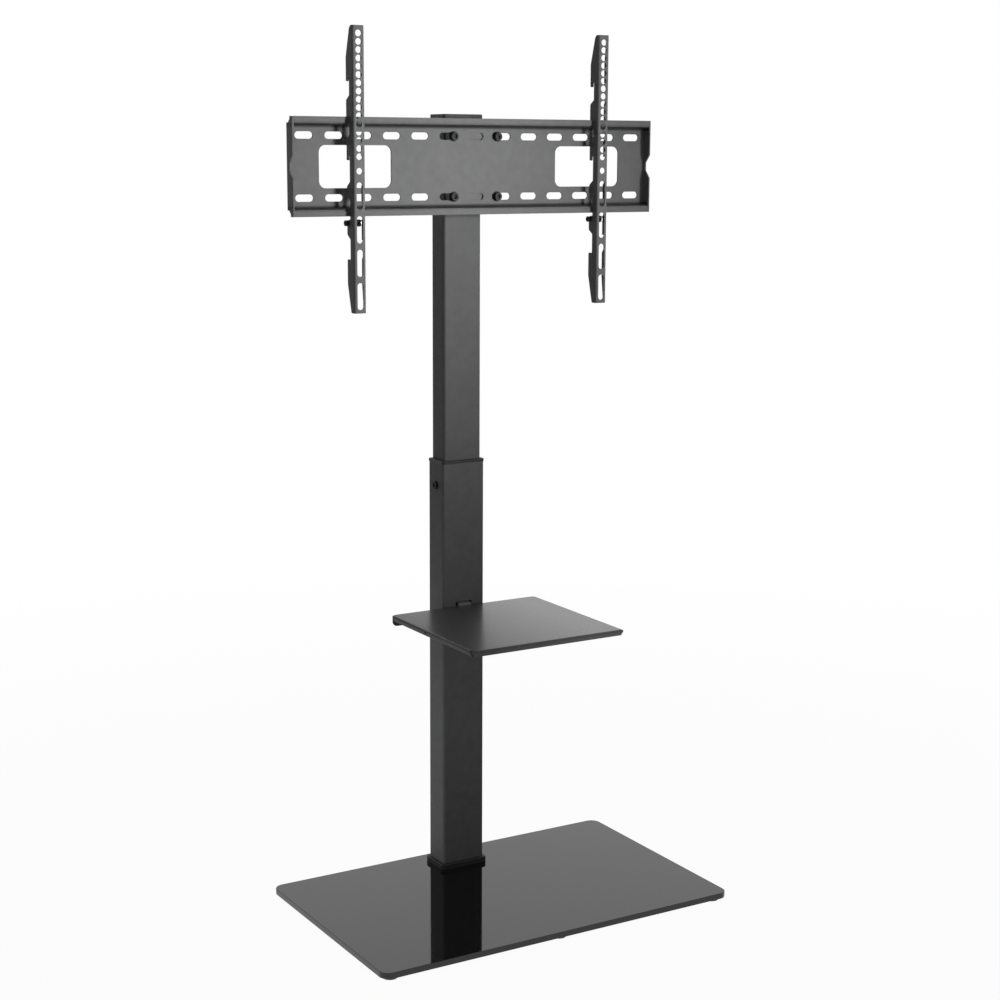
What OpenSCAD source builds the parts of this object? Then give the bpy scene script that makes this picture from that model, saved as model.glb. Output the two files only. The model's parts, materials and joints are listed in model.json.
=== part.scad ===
// Free standing display stand: glass base, telescopic column, shelf and a rail with two arms.
// X points to the right, Y to the back and Z up. The origin is on the floor under the glass's centre.

/* [Glass base] */
// Width of the glass
glass_w = 646; // [560:2:760]
// Depth of the glass
glass_d = 404; // [340:2:480]
// Thickness of the glass
glass_t = 10; // [8:0.5:12]
// Corner radius of the glass
glass_corner_r = 17; // [12:1:40]
// Radius of the screw holes in the glass
glass_hole_r = 4.5; // [3.6:0.1:5]
// Height of the rubber feet
foot_h = 6; // [6:0.5:12]
// Radius of the rubber feet
foot_r = 12.5; // [8:0.5:14]
// Distance from the edges of the glass to the centre of a foot
foot_inset = 21; // [18:1:28]
// Distance from the back edge of the glass to the column's centre
column_inset = 53.5; // [46:0.5:90]

/* [Load plate under the glass] */
// Width of the steel load plate
base_plate_w = 320; // [200:5:400]
// Depth of the steel load plate
base_plate_d = 180; // [120:5:220]
// Thickness of the steel load plate
base_plate_t = 4; // [3.5:0.1:4.4]
// Distance from the column's centre to the back edge of the load plate
base_plate_back = 40; // [32:1:44]
// Thickness of the rubber sheets on both sides of the glass
gasket_t = 1; // [0.6:0.1:1.4]
// Radius of the countersunk screws under the glass
base_screw_r = 3; // [2.5:0.1:3.4]
// Length of the countersunk screws
base_screw_l = 25; // [23:0.5:27]
// Half of the distance between the countersunk screws across the column
base_screw_x = 23; // [18:0.5:26]
// Half of the distance between the countersunk screws along the depth
base_screw_y = 10; // [9:0.5:12]
// Height of the tapped block in the foot of the column
foot_block_h = 14; // [12:0.5:20]
// Height of the trim collar
collar_h = 10; // [7:0.5:16]
// Distance that the trim collar stands out from the tube
collar_out = 5; // [3:0.5:8]

/* [Lower tube] */
// Width of the lower tube
lower_w = 78; // [77:0.5:88]
// Depth of the lower tube
lower_d = 50; // [49:0.5:58]
// Wall of the lower tube
lower_wall = 2; // [1.5:0.1:2.4]
// Outer corner radius of the lower tube
lower_corner_r = 4; // [3:0.5:6]
// Length of the lower tube
lower_l = 702; // [690:2:800]
// Height of the rim of the guide bush
bush_rim_h = 5; // [3:0.5:8]
// Length of the guide bush inside the tube
bush_sleeve_l = 64; // [60:1:90]
// Distance that the rim stands out from the tube
bush_rim_out = 1; // [0.2:0.1:2]

/* [Height lock] */
// Distance from the top of the lower tube to the lock screw
lock_drop = 38; // [30:1:42]
// Radius of the lock screw's shank
lock_r = 4; // [3:0.1:5]
// Radius of the lock screw's head
lock_head_r = 7; // [6:0.1:9]
// Height of the lock screw's head
lock_head_h = 3.5; // [2.5:0.1:6]
// Travel of the upper tube above its lowest setting
height_travel = 100; // [40:5:120]
// Thickness of the tapped clamp plate
clamp_plate_t = 6; // [4:0.5:9]
// Height of the tapped clamp plate
clamp_plate_h = 30; // [20:1:40]
// Depth of the tapped clamp plate
clamp_plate_d = 24; // [18:0.5:30]

/* [Upper tube] */
// Width of the upper tube
upper_w = 69; // [62:0.5:70]
// Depth of the upper tube
upper_d = 42; // [41:0.1:42.6]
// Wall of the upper tube
upper_wall = 2; // [1.5:0.1:2.5]
// Outer corner radius of the upper tube
upper_corner_r = 4; // [3:0.5:6]
// Length of the upper tube
upper_l = 783; // [760:1:900]
// Length of the upper tube inside the lower tube at the lowest setting
upper_inside_l = 219; // [200:1:222]
// Height of the glide shoe's collar below the upper tube
shoe_h = 6; // [4:0.5:10]
// Length of the glide shoe's plug inside the upper tube
shoe_plug_l = 40; // [20:1:60]
// Wall of the glide shoe's plug
shoe_wall = 3; // [2:0.5:5]
// Width of the top cap
cap_w = 73; // [72:0.5:82]
// Depth of the top cap
cap_d = 47; // [45.5:0.5:54]
// Height of the top cap
cap_h = 14; // [8:0.5:16]
// Thickness of the top cap's roof
cap_roof_t = 2.5; // [1.5:0.1:5]

/* [Shelf] */
// Width of the shelf
shelf_w = 280; // [200:2:360]
// Depth of the shelf
shelf_d = 273; // [200:1:298]
// Distance from the top of the lower tube down to the shelf's top face
shelf_drop = 242; // [241:1:300]
// Thickness of the shelf's sheet
shelf_t = 2; // [1.2:0.1:2.4]
// Height of the folded edges
shelf_fold_h = 10; // [7:0.5:14]
// Distance that the folded edges lean inwards
shelf_fold_in = 4; // [2:0.5:8]
// Height of the rear flange
shelf_flange_h = 20; // [18:0.5:30]
// Radius of the back corners of the shelf
shelf_corner_r = 10; // [6:0.5:16]
// Width of the hook slot in the column
hook_slot_w = 31; // [28:0.5:40]
// Height of the hook slot in the column
hook_slot_h = 7.5; // [7:0.1:10]
// Width of the shelf's hook tab
hook_w = 24; // [16:0.5:26]
// Length of the hook's finger behind the column wall
hook_finger_l = 7; // [5:0.5:9]
// Radius of the shelf screws
shelf_screw_r = 2.5; // [2:0.1:3]
// Half of the distance between the shelf screws
shelf_screw_x = 20; // [12:0.5:24]

/* [Standoff bracket] */
// Distance from the column's front face to the wall plate's back
standoff_l = 38; // [30:1:60]
// Width of the bracket's front plate
bracket_w = 93; // [92:0.5:110]
// Height of the bracket
bracket_h = 124; // [114:1:140]
// Thickness of the bracket's sheet
bracket_t = 3; // [2:0.1:4]

/* [Wall plate] */
// Distance from the top of the upper tube to the middle of the wall plate
plate_drop = 80; // [78:1:140]
// Length of the wall plate
plate_w = 655; // [650:1:760]
// Height of the wall plate over its lips
plate_h = 150; // [144:1:160]
// Depth of the wall plate from its back to the front of its lips
plate_d = 21; // [19:0.5:26]
// Thickness of the wall plate's sheet
plate_t = 2.5; // [1.5:0.1:3]
// Height of each lip with its flange
lip_h = 12; // [11:0.1:14]
// Outer radius of the bend between flange and lip
lip_bend_r = 3.5; // [3.1:0.1:5]
// Length of the slots in the wall plate
plate_slot_l = 30; // [22:0.5:36]
// Height of the slots in the wall plate
plate_slot_h = 11; // [9:0.1:13]
// Distance between two slots in a row
plate_slot_pitch = 50; // [46:0.5:52]
// Number of slots in a row
plate_slot_count = 13; // [9:2:13]
// Distance between the two rows of slots
plate_row_gap = 94.4; // [92:0.1:98]
// Width of the two windows
window_w = 124; // [80:1:134]
// Height of the two windows
window_h = 65; // [40:1:68]
// Corner radius of the windows
window_r = 11; // [4:0.5:16]
// Distance from each end of the wall plate to the centre of a window
window_inset = 114.5; // [106:0.5:157]
// Depth of the notch in the end flanges
notch_d = 11; // [6:0.5:12]
// Height of the notch's floor
notch_floor_h = 13; // [6:0.5:20]
// Height of the notch's mouth
notch_mouth_h = 38; // [24:0.5:60]

/* [Wall plate bolts] */
// Half of the distance between the bolts across the plate
bolt_x = 40; // [39.6:0.1:40.4]
// Radius of the bolts
bolt_r = 4; // [3:0.1:4.2]
// Length of the bolts under the head
bolt_l = 20; // [16:0.5:24]
// Radius of the bolt heads
bolt_head_r = 6.5; // [5.5:0.1:7]
// Height of the bolt heads
bolt_head_h = 5; // [4.5:0.5:9]
// Radius of the washers
washer_r = 8; // [7:0.1:9]
// Thickness of the washers
washer_t = 1.6; // [1:0.1:2.5]

/* [Arms] */
// Distance from each end of the wall plate to the centre of an arm as shown
arm_inset = 105; // [48:0.5:205]
// Length of an arm
arm_l = 433; // [424:1:520]
// Height of an arm's top above the rail's upper lip
arm_up = 135; // [110:1:170]
// Width of an arm
arm_w = 20; // [19:0.5:28]
// Thickness of an arm's sheet
arm_t = 2; // [1.2:0.1:2.5]
// Outer bend radius of an arm
arm_bend_r = 3; // [2.6:0.1:4]
// Depth of an arm's hooked flange where it passes in front of the rail
arm_shallow_d = 13.7; // [12:0.1:18]
// Depth of an arm's hooked flange behind the rail's lips
arm_deep_d = 24; // [23:0.1:25]
// Depth of an arm's plain flange
arm_plain_d = 11; // [8:0.1:12]
// Depth of an arm's plain flange beside the recesses of the hooked flange
arm_plain_low_d = 6; // [4:0.1:7.5]
// Vertical distance between two hooks
hook_pitch = 59; // [52:0.5:61]
// Length of a hook's finger
finger_l = 6.6; // [6:0.1:8.4]
// Radius of the round holes
arm_hole_r = 5; // [3:0.1:5.4]
// Distance between two round holes
arm_hole_pitch = 12.2; // [11.5:0.1:12.4]
// Number of round holes in the row above the middle of an arm
arm_hole_count = 16; // [8:1:16]
// Distance from the top of an arm to the first round hole
arm_hole_first = 11.8; // [8:0.1:13]
// Length of the long holes
arm_slot_l = 41.5; // [30:0.5:46]
// Distance between two long holes
arm_slot_pitch = 51; // [50:0.5:52]
// Number of long holes
arm_slot_count = 4; // [1:1:4]
// Distance from the bottom of an arm to the centre of the lowest long hole
arm_slot_first = 26; // [24:0.5:28]
// Radius of the cross screws
pin_r = 2.5; // [2:0.1:2.8]
// Radius of the cross screws' heads
pin_head_r = 4.5; // [4:0.1:5.5]
// Height of the cross screws' heads
pin_head_h = 5.5; // [3:0.1:6]
// Outer radius of the spacer sleeves on the cross screws
sleeve_r = 5.5; // [4.8:0.1:5.8]

/* [Hidden] */
// Smoothness of the round shapes
$fn = 72;
// Overrun of every cut
cut = 1;
// Clearance between pieces of different bodies that pass each other
slide_gap = 0.3;
// Radial clearance of a screw that turns in its thread or sleeve
turn_gap = 0.06;
// Clearance of a pressed or welded seat
seat_gap = 0.02;
// Clearance of a screw's shank in its hole
hole_gap = 0.25;
// Hexagon sockets: radius as a share of the head's radius, depth as a share of its height
socket_share = 0.5;
socket_depth_share = 0.6;
// Hexagon nuts: corner radius and thickness as shares of the thread's radius
nut_r_share = 1.85;
nut_t_share = 1.6;

glass_bottom = foot_h;
glass_top = foot_h + glass_t;
// Places of the feet, as shares of the distance from the middle to the outer feet
foot_place_shares = [[-1, -1], [0, -1], [1, -1], [-1, 1], [1, 1]];
column_y = glass_d / 2 - column_inset;
column_front = column_y - lower_d / 2;
tube_bottom = glass_top + gasket_t;
lower_top = tube_bottom + lower_l;
upper_bottom = lower_top - upper_inside_l;
upper_top = upper_bottom + upper_l;
lower_in_w = lower_w - 2 * lower_wall;
lower_in_d = lower_d - 2 * lower_wall;
upper_in_w = upper_w - 2 * upper_wall;
upper_in_d = upper_d - 2 * upper_wall;
lower_in_r = lower_corner_r - lower_wall;
upper_in_r = upper_corner_r - upper_wall;

base_plate_top = glass_bottom - gasket_t;
base_plate_y = column_y + base_plate_back - base_plate_d / 2;
base_head_r = 2 * base_screw_r;
base_head_h = base_head_r - base_screw_r;
base_hole_r = base_screw_r + hole_gap;
base_socket_share = 0.4;

lock_z = lower_top - lock_drop;
lock_slot_r = lock_r + slide_gap;
lock_left = -lower_w / 2;
clamp_right = -upper_w / 2 + upper_wall + slide_gap + clamp_plate_t;
lock_socket_share = 0.55;

shelf_z = lower_top - shelf_drop;
shelf_back = column_front - seat_gap;
shelf_screw_z = shelf_z - shelf_flange_h / 2;
shelf_screw_l = 12;
shelf_head_r = 2 * shelf_screw_r;
shelf_head_h = shelf_screw_r;
insert_r_share = 1.6;
insert_r = insert_r_share * shelf_screw_r;
insert_l = 9;
insert_rim_share = 2.2;
insert_rim_r = insert_rim_share * shelf_screw_r;
insert_rim_t = 0.8;
shelf_notch_w = 10;
shelf_notch_d = 18;
shelf_cord_hole_r = 2;
shelf_cord_hole_y = 118;
shelf_flange_inset = 5;
shelf_flange_r = 8;
hook_t = shelf_t;
hook_step = 5;

plate_z = upper_top - plate_drop;
plate_back = column_y - upper_d / 2 - standoff_l;
plate_front = plate_back - plate_t;
rail_front = plate_back - plate_d;
rail_in_h = plate_h - 2 * lip_h;
lip_top = plate_z + plate_h / 2;
end_lip_d = 9.5;
window_x = plate_w / 2 - window_inset;
rib_x = upper_w / 2 - upper_corner_r - bracket_t / 2;

bolt_z = plate_row_gap / 2;
bolt_under_head = plate_front - washer_t;
bolt_hole_r = bolt_r + hole_gap;
nut_t = nut_t_share * bolt_r;
nut_r = nut_r_share * bolt_r;
washer_hole_r = bolt_r + hole_gap;

arm_x = plate_w / 2 - arm_inset;
arm_front = rail_front - slide_gap - arm_shallow_d;
slit_w = plate_t + 3 * slide_gap;
arm_top = lip_top + arm_up;
arm_bottom = arm_top - arm_l;
// Room that a lip needs below it so that the arm can be lifted off
lift_room = finger_l + 2 * turn_gap;
// Room above the lower flange in each recess
recess_over = 12;
recess_l = 27;
recess_slope = 7;
arm_top_d = 8;
arm_top_step = 4;
arm_taper_top_d = 12;
arm_taper_top_l = 46;
arm_taper_bottom_l = 45;
arm_taper_bottom_d = 12.5;
// Rail's lower lip and lower flange, measured down from the upper lip's top
rail_lip_low = plate_h;
rail_flange_low = plate_h - lip_h;
pin_edge = 1;
pin_hole_r = pin_r + hole_gap;
pin_drop = rail_lip_low + lift_room + pin_edge + pin_hole_r;
pin_z = lip_top - pin_drop;
pin_y = arm_front + arm_deep_d - pin_edge - pin_hole_r;
pin_nut_r = nut_r_share * pin_r;
pin_nut_t = nut_t_share * pin_r;

// Rectangle with rounded corners, centred
module rounded_rect(w, d, r) {
    square([w - 2 * r, d], center = true);
    square([w, d - 2 * r], center = true);
    for (sx = [-1, 1], sy = [-1, 1])
        translate([sx * (w / 2 - r), sy * (d / 2 - r)])
            circle(r);
}

// Upright block with rounded vertical edges, its foot at zero
module rounded_block(w, d, r, h) {
    linear_extrude(h)
        rounded_rect(w, d, r);
}

// Oblong hole outline along X
module oblong(l, h) {
    square([l - h, h], center = true);
    for (sx = [-1, 1])
        translate([sx * (l - h) / 2, 0])
            circle(h / 2);
}

// Cylinder along X from x0 to x1
module rod_x(x0, x1, r) {
    translate([x0, 0, 0])
        rotate([0, 90, 0])
            cylinder(r = r, h = x1 - x0);
}

// Cylinder along Y from y0 to y1
module rod_y(y0, y1, r) {
    translate([0, y1, 0])
        rotate([90, 0, 0])
            cylinder(r = r, h = y1 - y0);
}

// Extrusion of an XZ outline along Y from y0 to y1
module slab_y(y0, y1) {
    translate([0, y1, 0])
        rotate([90, 0, 0])
            linear_extrude(y1 - y0)
                children();
}

// Extrusion of a YZ outline along X from x0 to x1
module slab_x(x0, x1) {
    translate([x0, 0, 0])
        rotate([90, 0, 90])
            linear_extrude(x1 - x0)
                children();
}

// Hexagon socket of a head whose outer face lies at zero, going up
module hex_socket(head_r, head_h, share) {
    translate([0, 0, -cut])
        cylinder(r = head_r * share, h = cut + head_h * socket_depth_share, $fn = 6);
}

// Places for the four screws under the column
module at_base_screws() {
    for (sx = [-1, 1], sy = [-1, 1])
        translate([sx * base_screw_x, column_y + sy * base_screw_y, 0])
            children();
}

// Places for the two shelf screws
module at_shelf_screws() {
    for (sx = [-1, 1])
        translate([sx * shelf_screw_x, 0, shelf_screw_z])
            children();
}

// Places for the four bolts of the wall plate
module at_plate_bolts() {
    for (sx = [-1, 1], sz = [-1, 1])
        translate([sx * bolt_x, 0, plate_z + sz * bolt_z])
            children();
}

module glass_base() {
    color([0.08, 0.08, 0.09])
        difference() {
            translate([0, 0, glass_bottom])
                rounded_block(glass_w, glass_d, glass_corner_r, glass_t);
            at_base_screws()
                translate([0, 0, glass_bottom - cut])
                    cylinder(r = glass_hole_r, h = glass_t + 2 * cut);
        }
}

module base_feet() {
    color([0.12, 0.12, 0.12])
        for (p = foot_place_shares)
            translate([p.x * (glass_w / 2 - foot_inset), p.y * (glass_d / 2 - foot_inset), 0])
                cylinder(r = foot_r, h = foot_h);
}

module base_plate() {
    color([0.2, 0.2, 0.21])
        difference() {
            translate([0, base_plate_y, base_plate_top - base_plate_t])
                rounded_block(base_plate_w, base_plate_d, glass_corner_r, base_plate_t);
            at_base_screws() {
                translate([0, 0, base_plate_top - base_plate_t - cut])
                    cylinder(r = base_hole_r, h = base_plate_t + 2 * cut);
                translate([0, 0, base_plate_top - base_plate_t])
                    cylinder(r1 = base_head_r + hole_gap, r2 = base_hole_r, h = base_head_h);
            }
        }
}

module base_gasket() {
    color([0.1, 0.1, 0.1])
        difference() {
            translate([0, base_plate_y, base_plate_top])
                rounded_block(base_plate_w, base_plate_d, glass_corner_r, gasket_t);
            at_base_screws()
                translate([0, 0, base_plate_top - cut])
                    cylinder(r = glass_hole_r, h = gasket_t + 2 * cut);
        }
}

module column_gasket() {
    color([0.1, 0.1, 0.1])
        difference() {
            translate([0, column_y, glass_top])
                rounded_block(lower_w, lower_d, lower_corner_r, gasket_t);
            at_base_screws()
                translate([0, 0, glass_top - cut])
                    cylinder(r = glass_hole_r, h = gasket_t + 2 * cut);
        }
}

module base_screws() {
    color([0.45, 0.45, 0.46])
        at_base_screws()
            translate([0, 0, base_plate_top - base_plate_t])
                difference() {
                    union() {
                        cylinder(r1 = base_head_r, r2 = base_screw_r, h = base_head_h);
                        cylinder(r = base_screw_r, h = base_screw_l);
                    }
                    hex_socket(base_head_r, base_head_h, base_socket_share);
                }
}

module foot_block() {
    color([0.35, 0.35, 0.36])
        difference() {
            translate([0, column_y, tube_bottom])
                rounded_block(lower_in_w - 2 * seat_gap, lower_in_d - 2 * seat_gap, lower_in_r,
                    foot_block_h);
            at_base_screws()
                translate([0, 0, tube_bottom - cut])
                    cylinder(r = base_screw_r + seat_gap, h = foot_block_h + 2 * cut);
        }
}

module base_collar() {
    collar_w = lower_w + 2 * collar_out;
    collar_d = lower_d + 2 * collar_out;
    collar_r = lower_corner_r + collar_out / 2;
    edge = collar_out / 4;
    color([0.09, 0.09, 0.1])
        translate([0, column_y, glass_top])
            difference() {
                union() {
                    rounded_block(collar_w, collar_d, collar_r, collar_h - edge);
                    rounded_block(collar_w - 2 * edge, collar_d - 2 * edge, collar_r - edge, collar_h);
                }
                translate([0, 0, -cut])
                    rounded_block(lower_w + 2 * hole_gap, lower_d + 2 * hole_gap,
                        lower_corner_r + hole_gap, collar_h + 2 * cut);
            }
}

module lower_tube() {
    color([0.3, 0.3, 0.31])
        difference() {
            translate([0, column_y, tube_bottom])
                rounded_block(lower_w, lower_d, lower_corner_r, lower_l);
            translate([0, column_y, tube_bottom - cut])
                rounded_block(lower_in_w, lower_in_d, lower_in_r, lower_l + 2 * cut);
            translate([0, column_y, lock_z])
                rod_x(lock_left - cut, lock_left + lower_wall + cut, lock_r + hole_gap);
            slab_y(column_front - cut, column_front + lower_wall + cut)
                translate([0, shelf_z + hook_slot_h / 2])
                    oblong(hook_slot_w, hook_slot_h);
            at_shelf_screws()
                rod_y(column_front - cut, column_front + lower_wall + cut, insert_r + seat_gap);
        }
}

module guide_bush() {
    rim_w = lower_w + 2 * bush_rim_out;
    rim_d = lower_d + 2 * bush_rim_out;
    color([0.16, 0.16, 0.17])
        difference() {
            translate([0, column_y, 0]) {
                translate([0, 0, lower_top])
                    rounded_block(rim_w, rim_d, lower_corner_r + bush_rim_out, bush_rim_h);
                translate([0, 0, lower_top - bush_sleeve_l])
                    rounded_block(lower_in_w - 2 * seat_gap, lower_in_d - 2 * seat_gap, lower_in_r,
                        bush_sleeve_l);
            }
            translate([0, column_y, lower_top - bush_sleeve_l - cut])
                rounded_block(upper_w + 2 * slide_gap, upper_d + 2 * slide_gap,
                    upper_corner_r + slide_gap, bush_sleeve_l + bush_rim_h + 2 * cut);
            translate([0, column_y, lock_z])
                rod_x(lock_left, -upper_w / 2, lock_r + hole_gap);
        }
}

module height_lock_screw() {
    color([0.18, 0.18, 0.19])
        translate([0, column_y, lock_z])
            difference() {
                union() {
                    rod_x(lock_left - slide_gap - lock_head_h, lock_left - slide_gap, lock_head_r);
                    rod_x(lock_left - slide_gap, clamp_right, lock_r);
                }
                translate([lock_left - slide_gap - lock_head_h, 0, 0])
                    rotate([0, 90, 0])
                        hex_socket(lock_head_r, lock_head_h, lock_socket_share);
            }
}

module height_clamp_plate() {
    color([0.5, 0.5, 0.5])
        translate([0, column_y, lock_z])
            difference() {
                translate([clamp_right - clamp_plate_t, -clamp_plate_d / 2, -clamp_plate_h / 2])
                    cube([clamp_plate_t, clamp_plate_d, clamp_plate_h]);
                rod_x(clamp_right - clamp_plate_t - cut, clamp_right + cut, lock_r + turn_gap);
            }
}

module upper_tube() {
    slot_low = lock_z - height_travel;
    color([0.42, 0.42, 0.43])
        difference() {
            translate([0, column_y, upper_bottom])
                rounded_block(upper_w, upper_d, upper_corner_r, upper_l);
            translate([0, column_y, upper_bottom - cut])
                rounded_block(upper_in_w, upper_in_d, upper_in_r, upper_l + 2 * cut);
            translate([0, column_y, 0])
                slab_x(-upper_w / 2 - cut, -upper_w / 2 + upper_wall + cut) {
                    for (z = [slot_low, lock_z])
                        translate([0, z])
                            circle(lock_slot_r);
                    translate([-lock_slot_r, slot_low])
                        square([2 * lock_slot_r, height_travel]);
                }
        }
}

module glide_shoe() {
    color([0.85, 0.85, 0.82])
        translate([0, column_y, upper_bottom])
            difference() {
                union() {
                    translate([0, 0, -shoe_h])
                        rounded_block(lower_in_w - 2 * slide_gap, lower_in_d - 2 * slide_gap,
                            lower_in_r, shoe_h);
                    rounded_block(upper_in_w - 2 * seat_gap, upper_in_d - 2 * seat_gap,
                        upper_in_r, shoe_plug_l);
                }
                translate([0, 0, -shoe_h - cut])
                    rounded_block(upper_in_w - 2 * shoe_wall, upper_in_d - 2 * shoe_wall,
                        upper_in_r, shoe_h + shoe_plug_l + 2 * cut);
            }
}

module top_cap() {
    color([0.16, 0.16, 0.17])
        translate([0, column_y, upper_top + cap_roof_t - cap_h])
            difference() {
                rounded_block(cap_w, cap_d, upper_corner_r, cap_h);
                translate([0, 0, -cut])
                    rounded_block(upper_w + 2 * seat_gap, upper_d + 2 * seat_gap,
                        upper_corner_r + seat_gap, cap_h - cap_roof_t + cut);
            }
}

// Shelf outline from above, its back edge at zero and its front at negative Y
module shelf_outline() {
    difference() {
        union() {
            translate([-shelf_w / 2, -shelf_d])
                square([shelf_w, shelf_d - shelf_corner_r]);
            translate([-shelf_w / 2 + shelf_corner_r, -2 * shelf_corner_r])
                square([shelf_w - 2 * shelf_corner_r, 2 * shelf_corner_r]);
            for (sx = [-1, 1])
                translate([sx * (shelf_w / 2 - shelf_corner_r), -shelf_corner_r])
                    circle(shelf_corner_r);
        }
        translate([-shelf_w / 2, -shelf_d])
            polygon([[-cut, -cut], [shelf_notch_w, -cut], [shelf_notch_w, shelf_notch_d / 2],
                [0, shelf_notch_d], [-cut, shelf_notch_d]]);
    }
}

// Body between leaning front and side faces, gap inside the shelf's outer faces
module shelf_body(gap, z_top, z_bottom) {
    lean = shelf_fold_in / shelf_fold_h;
    top_in = gap - lean * z_top;
    low_in = gap - lean * z_bottom;
    intersection() {
        slab_y(-shelf_d - cut, -gap)
            polygon([[-shelf_w / 2 + top_in, z_top], [shelf_w / 2 - top_in, z_top],
                [shelf_w / 2 - low_in, z_bottom], [-shelf_w / 2 + low_in, z_bottom]]);
        slab_x(-shelf_w / 2 - cut, shelf_w / 2 + cut)
            polygon([[-shelf_d + top_in, z_top], [0, z_top], [0, z_bottom],
                [-shelf_d + low_in, z_bottom]]);
    }
}

module shelf_tray() {
    hook_low = shelf_z + (hook_slot_h - hook_t) / 2;
    wall_back = column_front + lower_wall + slide_gap;
    root_z = shelf_z - shelf_t / 2;
    flange_w = shelf_w - 2 * shelf_flange_inset;
    hole_end = -shelf_w / 2 + shelf_fold_in + shelf_t + cut;
    color([0.5, 0.5, 0.51])
        difference() {
            union() {
                translate([0, shelf_back, shelf_z])
                    intersection() {
                        difference() {
                            shelf_body(0, 0, -shelf_fold_h);
                            shelf_body(shelf_t, -shelf_t, -shelf_fold_h - cut);
                        }
                        translate([0, 0, -shelf_fold_h])
                            linear_extrude(shelf_fold_h + cut)
                                shelf_outline();
                    }
                slab_y(shelf_back - shelf_t, shelf_back)
                    translate([0, shelf_z - shelf_flange_h / 2])
                        union() {
                            rounded_rect(flange_w, shelf_flange_h, shelf_flange_r);
                            translate([0, shelf_flange_r / 2])
                                square([flange_w, shelf_flange_h - shelf_flange_r], center = true);
                        }
                translate([-hook_w / 2, 0, 0])
                    slab_x(0, hook_w)
                        polygon([[shelf_back - hook_step, root_z], [shelf_back, root_z],
                            [shelf_back, hook_low], [wall_back + hook_t, hook_low],
                            [wall_back + hook_t, hook_low + hook_finger_l],
                            [wall_back, hook_low + hook_finger_l],
                            [wall_back, hook_low + hook_t], [shelf_back - hook_t, hook_low + hook_t]]);
            }
            translate([0, shelf_back - shelf_cord_hole_y, shelf_z - shelf_fold_h / 2])
                rod_x(-shelf_w / 2 - cut, hole_end, shelf_cord_hole_r);
            at_shelf_screws()
                rod_y(shelf_back - shelf_t - cut, shelf_back + cut, shelf_screw_r + hole_gap);
        }
}

module shelf_screws() {
    under_head = shelf_back - shelf_t;
    color([0.2, 0.2, 0.2])
        at_shelf_screws()
            difference() {
                union() {
                    rod_y(under_head - shelf_head_h, under_head, shelf_head_r);
                    rod_y(under_head, under_head + shelf_screw_l, shelf_screw_r);
                }
                translate([0, under_head - shelf_head_h, 0])
                    rotate([-90, 0, 0])
                        hex_socket(shelf_head_r, shelf_head_h, socket_share);
            }
}

module shelf_inserts() {
    wall_back = column_front + lower_wall;
    color([0.6, 0.6, 0.58])
        at_shelf_screws()
            difference() {
                union() {
                    rod_y(column_front, column_front + insert_l, insert_r);
                    rod_y(wall_back, wall_back + insert_rim_t, insert_rim_r);
                }
                rod_y(column_front - cut, column_front + insert_l + cut, shelf_screw_r + seat_gap);
            }
}

module standoff_bracket() {
    tube_front = column_y - upper_d / 2;
    rib_front = plate_back + bracket_t / 2;
    color([0.38, 0.38, 0.39])
        translate([0, 0, plate_z])
            difference() {
                union() {
                    slab_y(plate_back, plate_back + bracket_t)
                        rounded_rect(bracket_w, bracket_h, bracket_t);
                    for (sx = [-1, 1])
                        translate([sx * rib_x, 0, 0])
                            slab_x(-bracket_t / 2, bracket_t / 2)
                                translate([rib_front, -bracket_h / 2])
                                    square([tube_front - seat_gap - rib_front, bracket_h]);
                }
                for (sx = [-1, 1], sz = [-1, 1])
                    translate([sx * bolt_x, 0, sz * bolt_z])
                        rod_y(plate_back - cut, plate_back + bracket_t + cut, bolt_hole_r);
            }
}

// Section of the wall plate without its ends, depth from its back along X and height along Y
module rail_section() {
    half = rail_in_h / 2;
    difference() {
        union() {
            translate([0, -half - plate_t])
                square([plate_t, rail_in_h + 2 * plate_t]);
            for (s = [-1, 1])
                scale([1, s])
                    union() {
                        translate([0, half])
                            square([plate_d, plate_t]);
                        translate([plate_d - plate_t, half])
                            square([plate_t, lip_h]);
                    }
        }
        for (s = [-1, 1])
            scale([1, s])
                translate([plate_d - lip_bend_r, half + lip_bend_r])
                    difference() {
                        translate([0, -lip_bend_r - cut])
                            square([lip_bend_r + cut, lip_bend_r + cut]);
                        circle(lip_bend_r);
                    }
    }
    for (s = [-1, 1])
        scale([1, s])
            translate([plate_d - lip_bend_r, half + lip_bend_r])
                difference() {
                    intersection() {
                        circle(lip_bend_r);
                        translate([0, -lip_bend_r])
                            square(lip_bend_r);
                    }
                    circle(lip_bend_r - plate_t);
                }
}

// Outline of an end flange, depth from the plate's back along X and height along Y
module end_outline() {
    rear = rail_in_h / 2 + plate_t;
    lip_rear = plate_d - end_lip_d;
    difference() {
        polygon([[0, -rear], [0, rear], [lip_rear / 2, rear], [lip_rear, rear + lip_rear / 2],
            [lip_rear, plate_h / 2], [plate_d, plate_h / 2], [plate_d, -plate_h / 2],
            [lip_rear, -plate_h / 2], [lip_rear, -rear - lip_rear / 2], [lip_rear / 2, -rear]]);
        polygon([[plate_d - notch_d, -notch_floor_h / 2], [plate_d - notch_d, notch_floor_h / 2],
            [plate_d, notch_mouth_h / 2], [plate_d + cut, notch_mouth_h / 2],
            [plate_d + cut, -notch_mouth_h / 2], [plate_d, -notch_mouth_h / 2]]);
    }
}

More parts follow.
